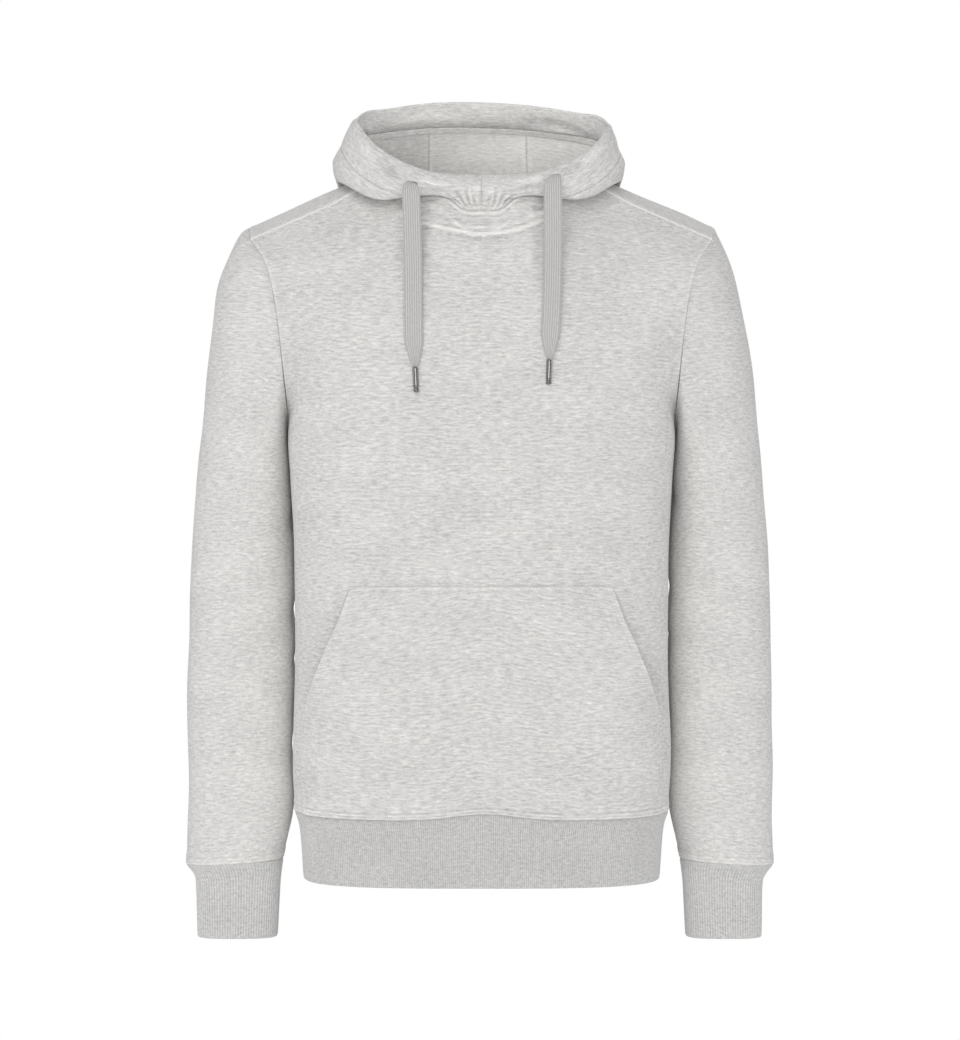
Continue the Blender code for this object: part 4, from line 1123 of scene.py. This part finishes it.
# Sleeves and cuffs
SLEEVE_LAST_ROW = 0.06  # height of the last row of a sleeve
SLEEVE_GIRTH = 0.36  # that its folds are laid out on
sleeve_rows = np.concatenate([
    (0, 0.08, 0.17, 0.27, 0.4, 0.6, 0.8, 1, 1.33, 1.66, 2, 2.33, 2.66),
    np.arange(3, 4, 0.25), np.arange(4, 5, 1 / 6), np.arange(5, 13, 0.1), np.arange(13, 13.65, 0.1),
    len(SLEEVE) - 1 - (NEAR_SEAM / SLEEVE_LAST_ROW)[::-1],
])
cuff_rows = np.asarray((0, 0.0005, 0.0011, 0.002, 0.0034, 0.0055)) / CUFF_ROW
cuff_rows = np.concatenate([cuff_rows, np.arange(0.8, 2, 0.2), np.arange(2, 3.001, 0.1)])
SLEEVE_FOLDS = (
    # (share of the way round from the inner edge through the front, height), width, height
    (((0.93, -0.3), (1.02, -0.322), (1.1, -0.33)), 0.011, -0.0016),
    (((0.9, -0.395), (0.99, -0.412), (1.08, -0.418)), 0.012, -0.002),
    (((0.92, -0.446), (1.0, -0.462), (1.07, -0.463)), 0.011, -0.0018),
    (((0.88, -0.52), (0.97, -0.54), (1.05, -0.545)), 0.012, -0.0014),
    (((0.7, -0.6), (0.84, -0.618), (0.96, -0.622)), 0.01, -0.0012),
    (((0.62, -0.18), (0.72, -0.205), (0.8, -0.215)), 0.014, -0.0014),
    (((0.1, -0.628), (0.22, -0.64), (0.3, -0.642)), 0.008, -0.0007),
)


def sleeve_folds(tube, left):
    """Soft troughs across a sleeve, mostly on its inner and back sides, where an arm bends it."""
    move = 0.012 if left else -0.01
    table = []
    for line, width, size in SLEEVE_FOLDS:
        table.append(([(part * SLEEVE_GIRTH, z - move) for part, z in line], width, size))
    share = tube.along / tube.girth
    return sum(fold_lines((share + wrap) * SLEEVE_GIRTH, tube.base[..., 2], table) for wrap in (0, 1))


sleeves = {}
cuffs = {}
for side in ("left", "right"):
    left = side == "left"
    facing = 1 if left else -1
    tube = Cloth("sleeve_" + side + "_fleece", sleeve(left, sleeve_rows, 5), True, facing)
    tube.rise += plain_seam(tube.down, 0.0003)
    tube.rise += topstitched(tube.up)
    tube.rise += sway(tube.base, 1.3) * smooth(tube.end, 0.004, 0.05)
    tube.bend(sleeve_folds(tube, left) * smooth(tube.end, 0.004, 0.03) * 1.3)
    tube.courses = -tube.up
    # painted light: the left sleeve a little lighter than the right
    tube.shade += 0.035 if left else 0.02
    # painted highlights and shade at the cuff's stitches, and a painted shadow on the sleeve beside the
    # armhole seam
    tube.shade += stitched_shade(tube.up) - 0.1 * (1 - smooth(tube.down, 0, 0.011))
    # painted light on the sleeve's inner side, where the body shades it
    painted_light_beside_body = hump(tube.side, 0, 0.034) * smooth(tube.down, 0.05, 0.16) * smooth(tube.up, 0.01, 0.03)
    tube.shade += (0.32 if left else 0.24) * painted_light_beside_body
    sleeves[side] = tube
    tube.build(fleece, "sleeve_" + side, "fleece")
    cuffs[side] = knit_rib("cuff_" + side, cuff(left, cuff_rows, AROUND_SLEEVE * CUFF_TIMES), facing, 0.06)

# Hood
NEAR_NECK = (0, 0.0005, 0.0012, 0.0021, 0.0033, 0.005, 0.008)
NEAR_RIM = (
    0, 0.0004, 0.001, 0.0018, 0.003, 0.005, 0.008, 0.011, 0.014, 0.017, 0.02, 0.0225, 0.0245, 0.0256,
    0.0264, 0.027, 0.0275, 0.028, 0.0286, 0.0293, 0.03, 0.0307, 0.0314, 0.032, 0.0325, 0.033, 0.0335,
    0.0341, 0.035, 0.037, 0.04, 0.044,
)
NEAR_COLUMN = np.asarray((0, 0.0008, 0.0017, 0.003, 0.005, 0.0085)) / 0.016
AROUND_HOOD = 2.0 * HOOD_HALF
CENTRE_START = float(HOOD_HALF - CENTRE_PANEL_HALF)
CENTRE_END = float(HOOD_HALF + CENTRE_PANEL_HALF)
side_columns = np.concatenate([
    NEAR_COLUMN, np.arange(0.6, 6, 1 / 14), np.arange(6, CENTRE_START - 0.6, 1 / 6),
    CENTRE_START - NEAR_COLUMN[::-1],
])
HOOD_SPANS = (
    ("hood_right", side_columns),
    ("hood_centre", both_ends(CENTRE_START, CENTRE_END, NEAR_COLUMN, 1 / 6)),
    ("hood_left", AROUND_HOOD - side_columns[::-1]),
)


def soft_hood(rows, columns):
    """The hood, with its rim a little lower at both sides and fuller behind them."""
    points = hood(rows, columns)
    aside = HOOD_HALF - np.abs(columns - HOOD_HALF)
    lift = -0.0045 * hump(aside, 14.9, 1.5) + 0.0024 * hump(aside, 18.7, 1.7)
    top = np.clip((rows - 11.5) / (HOOD_TOP - 11.5), 0, 1) ** 2
    points[..., 2] += top[:, None] * lift
    return points


def tunnel_at(columns):
    """Distance of the tunnel's stitches from the rim at these columns."""
    aside = HOOD_HALF - np.abs(columns - HOOD_HALF)
    return TUNNEL_FRONT + (TUNNEL_BACK - TUNNEL_FRONT) * smooth(aside, 12, 21)


HOOD_FRONT_FOLDS = (
    # (x, z) of its line, width, height: gathers above the neck seam, pulls at the two buttonholes
    (((-0.003, -0.042), (-0.0042, -0.033), (-0.005, -0.022)), 0.0013, 0.0012),
    (((-0.0053, -0.0418), (-0.0072, -0.033), (-0.0084, -0.0235)), 0.001, -0.0009),
    (((-0.0075, -0.0415), (-0.01, -0.033), (-0.0115, -0.0215)), 0.0013, 0.0013),
    (((-0.0098, -0.0412), (-0.013, -0.033), (-0.015, -0.024)), 0.001, -0.0009),
    (((-0.012, -0.041), (-0.016, -0.0335), (-0.0185, -0.025)), 0.0014, 0.0012),
    (((-0.0143, -0.0408), (-0.019, -0.0335), (-0.024, -0.0265)), 0.001, -0.0009),
    (((-0.0165, -0.0405), (-0.022, -0.0335), (-0.03, -0.028)), 0.0014, 0.0012),
    (((-0.019, -0.0395), (-0.025, -0.0325), (-0.035, -0.0278)), 0.0011, -0.0009),
    (((-0.0215, -0.0385), (-0.028, -0.0315), (-0.04, -0.0275)), 0.0015, 0.0011),
    (((0.0045, -0.042), (0.005, -0.033), (0.005, -0.023)), 0.0013, 0.0011),
    (((0.0065, -0.0418), (0.0075, -0.033), (0.0078, -0.0235)), 0.001, -0.0008),
    (((0.0085, -0.0415), (0.01, -0.033), (0.0105, -0.0225)), 0.0013, 0.0012),
    (((0.0108, -0.0413), (0.0128, -0.033), (0.014, -0.025)), 0.001, -0.0008),
    (((0.013, -0.0412), (0.0155, -0.033), (0.0175, -0.0255)), 0.0014, 0.0012),
    (((0.0152, -0.0408), (0.0185, -0.0333), (0.0222, -0.0265)), 0.001, -0.0009),
    (((0.0175, -0.0405), (0.0215, -0.0335), (0.027, -0.028)), 0.0014, 0.0011),
    (((0.02, -0.0395), (0.0248, -0.0328), (0.0325, -0.0283)), 0.0011, -0.0009),
    (((0.0225, -0.0385), (0.028, -0.032), (0.038, -0.0285)), 0.0015, 0.001),
    (((-0.06, -0.013), (-0.048, -0.0175), (-0.03, -0.0205)), 0.003, 0.001),
    (((-0.058, -0.0215), (-0.044, -0.024), (-0.028, -0.0245)), 0.003, -0.0009),
    (((0.059, -0.01), (0.045, -0.015), (0.028, -0.019)), 0.003, 0.001),
    (((0.06, -0.019), (0.044, -0.0225), (0.026, -0.0235)), 0.003, -0.0009),
    (((-0.074, -0.012), (-0.086, -0.006), (-0.096, 0.005)), 0.004, -0.0009),
    (((0.074, -0.008), (0.085, -0.002), (0.095, 0.008)), 0.004, -0.0009),
    (((-0.096, 0.001), (-0.108, 0.016), (-0.115, 0.032)), 0.005, 0.0007),
    (((0.098, 0.004), (0.109, 0.017), (0.116, 0.03)), 0.005, 0.0007),
)
HOOD_BACK_FOLDS = (
    # (x, z) of its line, width, height: the pouch of the hood sags in folds down the back
    (((-0.118, 0.01), (-0.1, -0.05), (-0.062, -0.105)), 0.011, -0.0026),
    (((-0.104, 0.022), (-0.078, -0.035), (-0.04, -0.075)), 0.01, 0.0016),
    (((0.116, 0.004), (0.098, -0.056), (0.06, -0.112)), 0.0115, -0.0026),
    (((0.106, 0.018), (0.08, -0.038), (0.044, -0.082)), 0.01, 0.0016),
    (((-0.034, -0.128), (0.004, -0.142), (0.04, -0.132)), 0.012, -0.002),
    (((-0.09, -0.07), (-0.06, -0.12), (-0.03, -0.155)), 0.009, -0.0013),
    (((0.094, -0.064), (0.066, -0.118), (0.03, -0.16)), 0.009, -0.0014),
    (((-0.02, 0.02), (-0.016, -0.03), (-0.022, -0.07)), 0.014, 0.001),
)
hoods = {}
for name, columns in HOOD_SPANS:
    dense = soft_hood(np.linspace(0, HOOD_TOP, 451), columns)
    part = Cloth(name + "_fleece", by_distance(dense, NEAR_NECK, NEAR_RIM, 56), False, 1)
    rim = part.up
    tunnel = tunnel_at(columns)[None]
    seam = part.side
    ahead = smooth(-part.base[..., 1], 0.02, 0.05) * smooth(part.down, 0.0005, 0.004)
    ahead *= smooth(rim, 0.001, 0.006)
    behind = smooth(part.base[..., 1], 0.03, 0.07) * smooth(rim, 0.02, 0.05) * smooth(part.down, 0.03, 0.08)
    part.rise += plain_seam(seam, 0.0003, 0.0003)
    part.rise += plain_seam(part.down, 0.0003)
    roomy = smooth(part.down[-1:] - tunnel, 0.01, 0.02)
    part.rise += -0.0008 * hump(rim, tunnel, 0.0009) * roomy + 0.0007 * hump(rim, tunnel * 0.5, 0.01)
    fade = smooth(rim, 0.02, 0.06) * smooth(seam, 0.004, 0.03) * smooth(part.down, 0.01, 0.04)
    part.rise += sway(part.base, 0.8) * fade
    gathers = part.folds(HOOD_FRONT_FOLDS) * ahead
    part.rise += gathers
    part.bend(part.folds(HOOD_BACK_FOLDS) * behind)
    part.round_last = True
    part.columns = columns
    part.courses = -part.up
    if name == "hood_right":
        part.across = part.left
    if name == "hood_left":
        part.across = -part.right
    # painted shade in the tunnel's stitched groove, and painted highlights beside it and along the neck seam
    part.shade += (-0.16 * hump(rim, tunnel, 0.0009) + 0.06 * hump(rim, tunnel - 0.002, 0.0012)) * roomy
    part.shade += 0.05 * hump(rim, tunnel + 0.002, 0.0012) * roomy + 0.1 * hump(part.down, 0.002, 0.0014)
    # painted highlights and shade on the gathers, and painted shade at the panel seams
    part.shade += 230 * gathers - 0.06 * (1 - smooth(seam, 0, 0.001))
    # painted light and shade on the lining: painted shade at its inside seams, stronger on the right; lighter
    # towards +X, on the centre panel and beside the seams; darker on the roll at the neck
    seen = 0.16 if name == "hood_left" else 0.3
    lining_painted_light = 0.1 * (name == "hood_centre") + 0.28 * smooth(part.base[..., 0], -0.07, 0.06)
    lining_painted_light += 0.1 * hump(seam, 0.003, 0.0018)
    lining_painted_light -= seen * (1 - smooth(seam, 0.0003, 0.0013)) * smooth(rim, 0.02, 0.024)
    above_neck = smooth(part.down, 0.035, 0.06)
    part.under_shade += lining_painted_light * above_neck - 0.14 * (1 - above_neck)
    hoods[name] = part
    part.build(lining, name, "fleece")

# The tunnel's inside: a facing turned in at the rim, stitched down, with its edge below the stitches
facing_columns = np.arange(0, AROUND_HOOD, 1 / 6)
dense = soft_hood(np.linspace(0, HOOD_TOP, 451), facing_columns)
dense_out = directions(dense, True, 1)
depth = reach(dense, 0)
depth = depth[-1:] - depth  # from the rim
tunnel = tunnel_at(facing_columns)
shares = (0.004, 0.02, 0.05, 0.1, 0.18, 0.28, 0.4, 0.52, 0.64, 0.75, 0.84, 0.9, 0.935, 0.96, 0.98, 1.0)
past = (0.0004, 0.0008, 0.0013, 0.002, 0.0032, 0.0048, 0.0064, 0.0074, 0.008, 0.0084, 0.0087, FACING_EDGE)
at = np.concatenate([np.outer(shares, tunnel), np.reshape(past, (-1, 1)) + tunnel])[::-1]
at *= np.minimum(1, (depth[0] - 0.006) / at[0])
spot = down_columns(at, depth[::-1], dense[::-1])
out = unit(down_columns(at, depth[::-1], dense_out[::-1]))
facing = Cloth("hood_tunnel_facing", spot - out * (WALL + 0.00012), True, 1)
share = np.clip(at / tunnel, 0, 1)
past = at - tunnel
FACING_FOLDS = (
    # (x, z) of its line, width, height: where the band buckles at the back
    (((0.036, 0.07), (0.0687, 0.0665), (0.095, 0.057), (0.1165, 0.044)), 0.0022, -0.0012),
    (((0.048, 0.059), (0.08, 0.056), (0.106, 0.047)), 0.0042, 0.0016),
    (((-0.119, 0.052), (-0.106, 0.045)), 0.0018, -0.001),
    (((-0.117, 0.058), (-0.103, 0.052)), 0.0018, 0.0009),
    (((-0.09, 0.064), (-0.055, 0.072), (-0.015, 0.07)), 0.0038, 0.0007),
    (((-0.06, 0.056), (-0.02, 0.059), (0.025, 0.06)), 0.0032, -0.0006),
)
thick = 0.0005 + 0.0017 * np.sin(math.pi * share**1.25) ** 0.55 * (at < tunnel * 0.999)
pinched = 0.0003 + 0.0016 * np.clip((tunnel - at) / (0.05 * tunnel), 0, 1)
thick = np.where(at >= tunnel * 0.93, np.minimum(thick, pinched), thick)
facing.thick = thick + 0.0007 * smooth(past, 0.0003, 0.0016) * (1 - smooth(past, 0.008, FACING_EDGE))
facing.least = 0.0
behind = smooth(facing.base[..., 1], 0.0, 0.03) * smooth(at, 0.001, 0.004)
behind = behind * (1 - smooth(at, tunnel * 0.86, tunnel * 0.98))
buckled = facing.folds(FACING_FOLDS) * behind
facing.sink += buckled
# painted light and shade on the facing: highlights and shade on its buckles, a painted shadow under the
# tunnel's stitches, darker towards them, a lighter strip below and a painted shade line at its edge
facing.under_shade += 240 * buckled - 0.4 * hump(at, tunnel, 0.0008)
facing.under_shade -= 0.2 * smooth(share, 0.45, 1.0) * (at < tunnel)
facing.under_shade += 0.06 * hump(past, 0.0045, 0.0025) - 0.35 * smooth(past, 0.008, 0.0087)
facing.round_last = True
facing.courses = -facing.up
facing.build(lining, None, "fleece")

# Pocket
POCKET_TOP_STITCHES = (0.0016, 0.006)
POCKET_LAST_ROW = 0.064  # height of its last row
POCKET_HALF_WIDTH = 0.15
FINE_ROWS = 160
FINE_COLUMNS = 400
FINE_HALF = 10
fine_rows = np.linspace(0, POCKET_TOP_ROW, FINE_ROWS + 1)
fine_front = front_panel(fine_rows, np.linspace(-FINE_HALF, FINE_HALF, FINE_COLUMNS + 1))
fine_out = directions(fine_front, False, 1)


def on_front(row, column):
    """Points of the front panel and its directions at arrays of rows and columns."""
    i = np.clip(row / POCKET_TOP_ROW * FINE_ROWS, 0, FINE_ROWS - 1e-6)
    j = np.clip((column + FINE_HALF) / (2 * FINE_HALF) * FINE_COLUMNS, 0, FINE_COLUMNS - 1e-6)
    k = i.astype(int)
    m = j.astype(int)
    s = (i - k)[..., None]
    t = (j - m)[..., None]
    found = []
    for grid in (fine_front, fine_out):
        low = grid[k, m] * (1 - t) + grid[k, m + 1] * t
        high = grid[k + 1, m] * (1 - t) + grid[k + 1, m + 1] * t
        found.append(low * (1 - s) + high * s)
    return found


pocket_rows = np.concatenate([
    NEAR_SEAM / BODY_ROW, np.arange(0.5, 3.75, 0.125), POCKET_TOP_ROW - (NEAR_SEAM / POCKET_LAST_ROW)[::-1],
])
across = both_ends(-1, 1, NEAR_SEAM / POCKET_HALF_WIDTH, 1 / 50)
grid_row, grid_across = np.meshgrid(pocket_rows, across, indexing="ij")
half = np.interp(grid_row, *np.transpose(POCKET_EDGE))
spot, away = on_front(grid_row, grid_across * half)
up = np.clip(grid_row / POCKET_TOP_ROW, 0, 1)
mouth = np.sin(math.pi * np.clip((grid_row - 2) / 2, 0, 1))
lift = (1 - grid_across**4) * POCKET_LIFT * np.sin(math.pi * up) ** 0.6
lift += grid_across**4 * POCKET_MOUTH_LIFT * mouth
pocket_inner = spot + away * (SEAM_GAP + lift)[..., None]
pocket_out = directions(pocket_inner, False, 1)
pocket = Cloth("pocket_fleece", pocket_inner + pocket_out * WALL, False, 1)
pocket.rise += topstitched(pocket.down) + topstitched(pocket.up, 0.0005, POCKET_TOP_STITCHES)
pocket.rise += topstitched(pocket.side, 0.0004)
# painted shade at the pocket's seams and stitches, and painted highlights between them
pocket.shade += stitched_shade(pocket.down) - 0.16 * (1 - smooth(pocket.up, 0, 0.0012))
pocket.shade += -0.12 * hump(pocket.up, POCKET_TOP_STITCHES[1], 0.0007) + 0.07 * hump(pocket.up, 0.003, 0.0014)
pocket.shade += stitched_shade(pocket.side, 0.22) - 0.1 * (1 - smooth(pocket.side, 0, 0.0016))
pocket.build(fleece, "pocket", "fleece")

# Sewing
LAYER_APART = 0.006  # points this far behind the front of cloth that hangs over itself are the layer below
AVERAGED = 0.0016  # distance from a place over which the points round it count


def on_surface(cloth, places):
    """Points and outward directions on the front of a piece at places (x, z), from its nearest points."""
    ahead = cloth.out[..., 1] < -0.05
    grid = cloth.outer()[ahead]
    out = cloth.out[ahead]
    line = []
    ways = []
    for x, z in places:
        gap = (grid[:, 0] - x) ** 2 + (grid[:, 2] - z) ** 2
        foremost = grid[gap < max(4 * AVERAGED**2, gap.min() * 2), 1].min()
        weight = np.exp(-gap / max(AVERAGED**2, gap.min() * 1.2)) * (grid[:, 1] < foremost + LAYER_APART)
        weight /= weight.sum()
        line.append((x, weight @ grid[:, 1], z))
        ways.append(weight @ out)
    return np.array(line), unit(np.array(ways))


def finely(line, step=0.0015):
    """Places along a smooth line through the given (x, z), a step apart."""
    dense = blend(np.arange(len(line)), line, np.linspace(0, len(line) - 1, 40 * len(line)))
    return at_shares(dense, np.linspace(0, 1, int(lengths_along(dense)[-1] / step) + 1))


lines = [cloth.trace("first", away) for away in STITCH_ROWS for cloth in (front, back)]
place_stitches("stitches_hem", lines, thread)
lines = [tube.trace("last", away) for tube in sleeves.values() for away in STITCH_ROWS]
place_stitches("stitches_cuffs", lines, thread)

parts = (back_at > BACK_NECK + 0.2, back_at < -BACK_NECK - 0.2, np.abs(back_at) < BACK_NECK)
lines = [back.trace("last", away, part) for away in STITCH_ROWS for part in parts]
lines += [on_surface(front, finely(line)) for line in NECK_STITCHES]
lines.append(front.trace("last", 0.0085, (front_at > -1.3) & (front_at < -0.1)))
place_stitches("stitches_shoulders_and_neck", lines, thread)
# the welts along the shoulder seams are stitches in the whiter thread: a painted highlight on the seam's ridge
parts = (front_at >= FRONT_NECK, front_at <= -FRONT_NECK)
lines = [front.trace("last", 0.0004, part, 0.0002) for part in parts]
place_stitches("welt_shoulders", lines, thread_painted_highlight, 0.0022, 0.0028, 0.0013)

lines = []
for part in hoods.values():
    distances = tunnel_at(part.columns)
    lines.append(part.trace("last", distances, part.down[-1] > distances + 0.014))
place_stitches("stitches_hood_tunnel", lines, thread_in_shade)

beside_mouth = pocket_rows >= 2.0
lines = [pocket.trace("last", away) for away in POCKET_TOP_STITCHES]
lines += [pocket.trace(edge, away, beside_mouth) for away in STITCH_ROWS for edge in ("left", "right")]
place_stitches("stitches_pocket", lines, thread)

# Buttonholes in the tunnel, where the drawcords come out, and the bartack under the middle of the neck
BUTTONHOLES = (
    # piece, (x, z) of its middle, half width and half height
    ("hood_left", (-0.0655, -0.0188), (0.0056, 0.0028)),
    ("hood_right", (0.069, -0.0118), (0.0056, 0.0028)),
)
INSIDE_RINGS = (
    # share of the buttonhole's size, height over the cloth
    (0.0, 0.0002), (0.45, 0.0002), (0.88, 0.00015), (0.88, -0.0006), (0.45, -0.0006), (0.0, -0.0006),
)
HOLE_SIDES = 48
turn = np.linspace(0, 2 * math.pi, HOLE_SIDES + 1)
rings = []
for name, middle, size in BUTTONHOLES:
    oval = np.stack([np.cos(turn), np.sin(turn)], axis=1) * size
    rings.append(on_surface(hoods[name], middle + oval))
    # a dark disc just under the cloth in each buttonhole: a painted shadow standing for the shade inside the
    # hole
    disc = []
    for share, lift in INSIDE_RINGS:
        around, ways = on_surface(hoods[name], middle + oval[:-1] * share)
        disc.append(around + ways * lift)
    numbers = np.arange(len(disc) * HOLE_SIDES).reshape(-1, HOLE_SIDES)
    quads = patches(numbers, np.arange(1, 4), np.arange(HOLE_SIDES))
    fans = []
    for centre, around, way in ((0, 1, 1), (5, 4, -1)):
        for k in range(0, HOLE_SIDES, 2):
            quad = (numbers[centre, 0], *numbers[around, [k, k + 1, (k + 2) % HOLE_SIDES]])
            fans.append(quad[::way])
    faces = np.concatenate([quads, np.array(fans)])
    used, faces = np.unique(faces, return_inverse=True)
    points = np.concatenate(disc)[used]
    seat(make_mesh("buttonhole_painted_shadow_" + name[5:], points, faces.reshape(-1, 4), None, dark))
place_stitches("buttonhole_stitches", rings, buttonhole_thread, 0.00055, 0.0015, 0.00055, True)
places = np.linspace(0, 1, 9)[:, None] * (0.0065, 0.0006) + (0.0, -0.05)
place_stitches("bartack", [on_surface(front, places)], thread, 0.0005, 0.0017, 0.0005, True)


def declare(cloth):
    """Gathers a piece's points, with its first column again at the end if it is closed; nothing is worked out
    or kept from them.
    """
    points = cloth.base
    if cloth.closed:
        points = np.concatenate([points, points[:, :1]], axis=1)


declare(front)
declare(back)
declare(hem_rib)
for side in ("left", "right"):
    declare(sleeves[side])
    declare(cuffs[side])
for name, part in hoods.items():
    declare(part)
declare(facing)
declare(pocket)

# Stage and light
FLOOR = 3.0
FLOOR_Z = -1.45
ROOM = 0.39  # light from all sides
MIDDLE = (0, 0, -0.33)  # of the hoodie
LAMPS = (
    # name, place, aim, size, power
    ("front", (0.1, -4.4, 0.0), MIDDLE, 3.0, 85),
    ("key", (-1.3, -3.0, 2.0), MIDDLE, 1.8, 26),
    ("left", (-4.2, 0.3, 0.6), MIDDLE, 2.4, 32),
    ("right", (4.2, 0.3, 0.6), MIDDLE, 2.4, 31),
    ("back", (0.4, 4.6, 1.2), MIDDLE, 2.6, 70),
    ("inside_hood", (-0.025, -0.04, -0.01), (0.02, 0.15, 0.03), 0.1, 0.075),
)


def stage_look(name, colour):
    """A pale floor that fades out to nothing a way off."""
    material, tree, shader = new_look(name, 0.9)
    speckle(tree, shader, colour, 3.0, 2.0, 0.99, 1.01)
    place = wire(tree, "ShaderNodeTexCoord").outputs["Object"]
    level = {0: place, 1: (1.0, 1.0, 0.0)}
    flat = wire(tree, "ShaderNodeVectorMath", level, operation="MULTIPLY").outputs["Vector"]
    away = wire(tree, "ShaderNodeVectorMath", {0: flat}, operation="LENGTH").outputs["Value"]
    inputs = {"Value": away, "From Min": 0.7, "From Max": 2.8, "To Min": 1.0, "To Max": 0.0}
    fades = wire(tree, "ShaderNodeMapRange", inputs, interpolation_type="SMOOTHSTEP").outputs["Result"]
    tree.links.new(fades, shader.inputs["Alpha"])
    return material


floor_mesh = bpy.data.meshes.new("floor")
corners = [(x * FLOOR, y * FLOOR, FLOOR_Z) for x, y in ((-1, -1), (1, -1), (1, 1), (-1, 1))]
floor_mesh.from_pydata(corners, [], [(0, 1, 2, 3)])
floor_mesh.materials.append(stage_look("pale_floor", (0.93, 0.93, 0.93)))
floor = bpy.data.objects.new("floor", floor_mesh)
bpy.context.scene.collection.objects.link(floor)

world = bpy.data.worlds.new("studio")
bpy.context.scene.world = world
world.use_nodes = True
tree = world.node_tree
for node in list(tree.nodes):
    tree.nodes.remove(node)
seen_white = wire(tree, "ShaderNodeBackground", {"Color": (1, 1, 1, 1), "Strength": 1.0}).outputs[0]
room = wire(tree, "ShaderNodeBackground", {"Color": (1, 1, 1, 1), "Strength": ROOM}).outputs[0]
seen = wire(tree, "ShaderNodeLightPath").outputs["Is Camera Ray"]
mix = wire(tree, "ShaderNodeMixShader", {"Fac": seen, 1: room, 2: seen_white}).outputs[0]
wire(tree, "ShaderNodeOutputWorld", {"Surface": mix})


def soft_light(name, place, aim, size, power):
    data = bpy.data.lights.new(name, "AREA")
    data.shape = "DISK"
    data.size = size
    data.energy = power
    lamp = bpy.data.objects.new(name, data)
    bpy.context.scene.collection.objects.link(lamp)
    lamp.location = place
    way = np.array(aim, float) - np.array(place, float)
    flat = math.hypot(way[0], way[1])
    lamp.rotation_euler = (math.atan2(flat, -way[2]), 0, math.atan2(-way[0], way[1]))
    lamp.visible_camera = False


for lamp in LAMPS:
    soft_light(*lamp)

view = bpy.context.scene.view_settings
view.view_transform = "Standard"
view.look = "None"
view.exposure = 0.0
view.gamma = 1.0
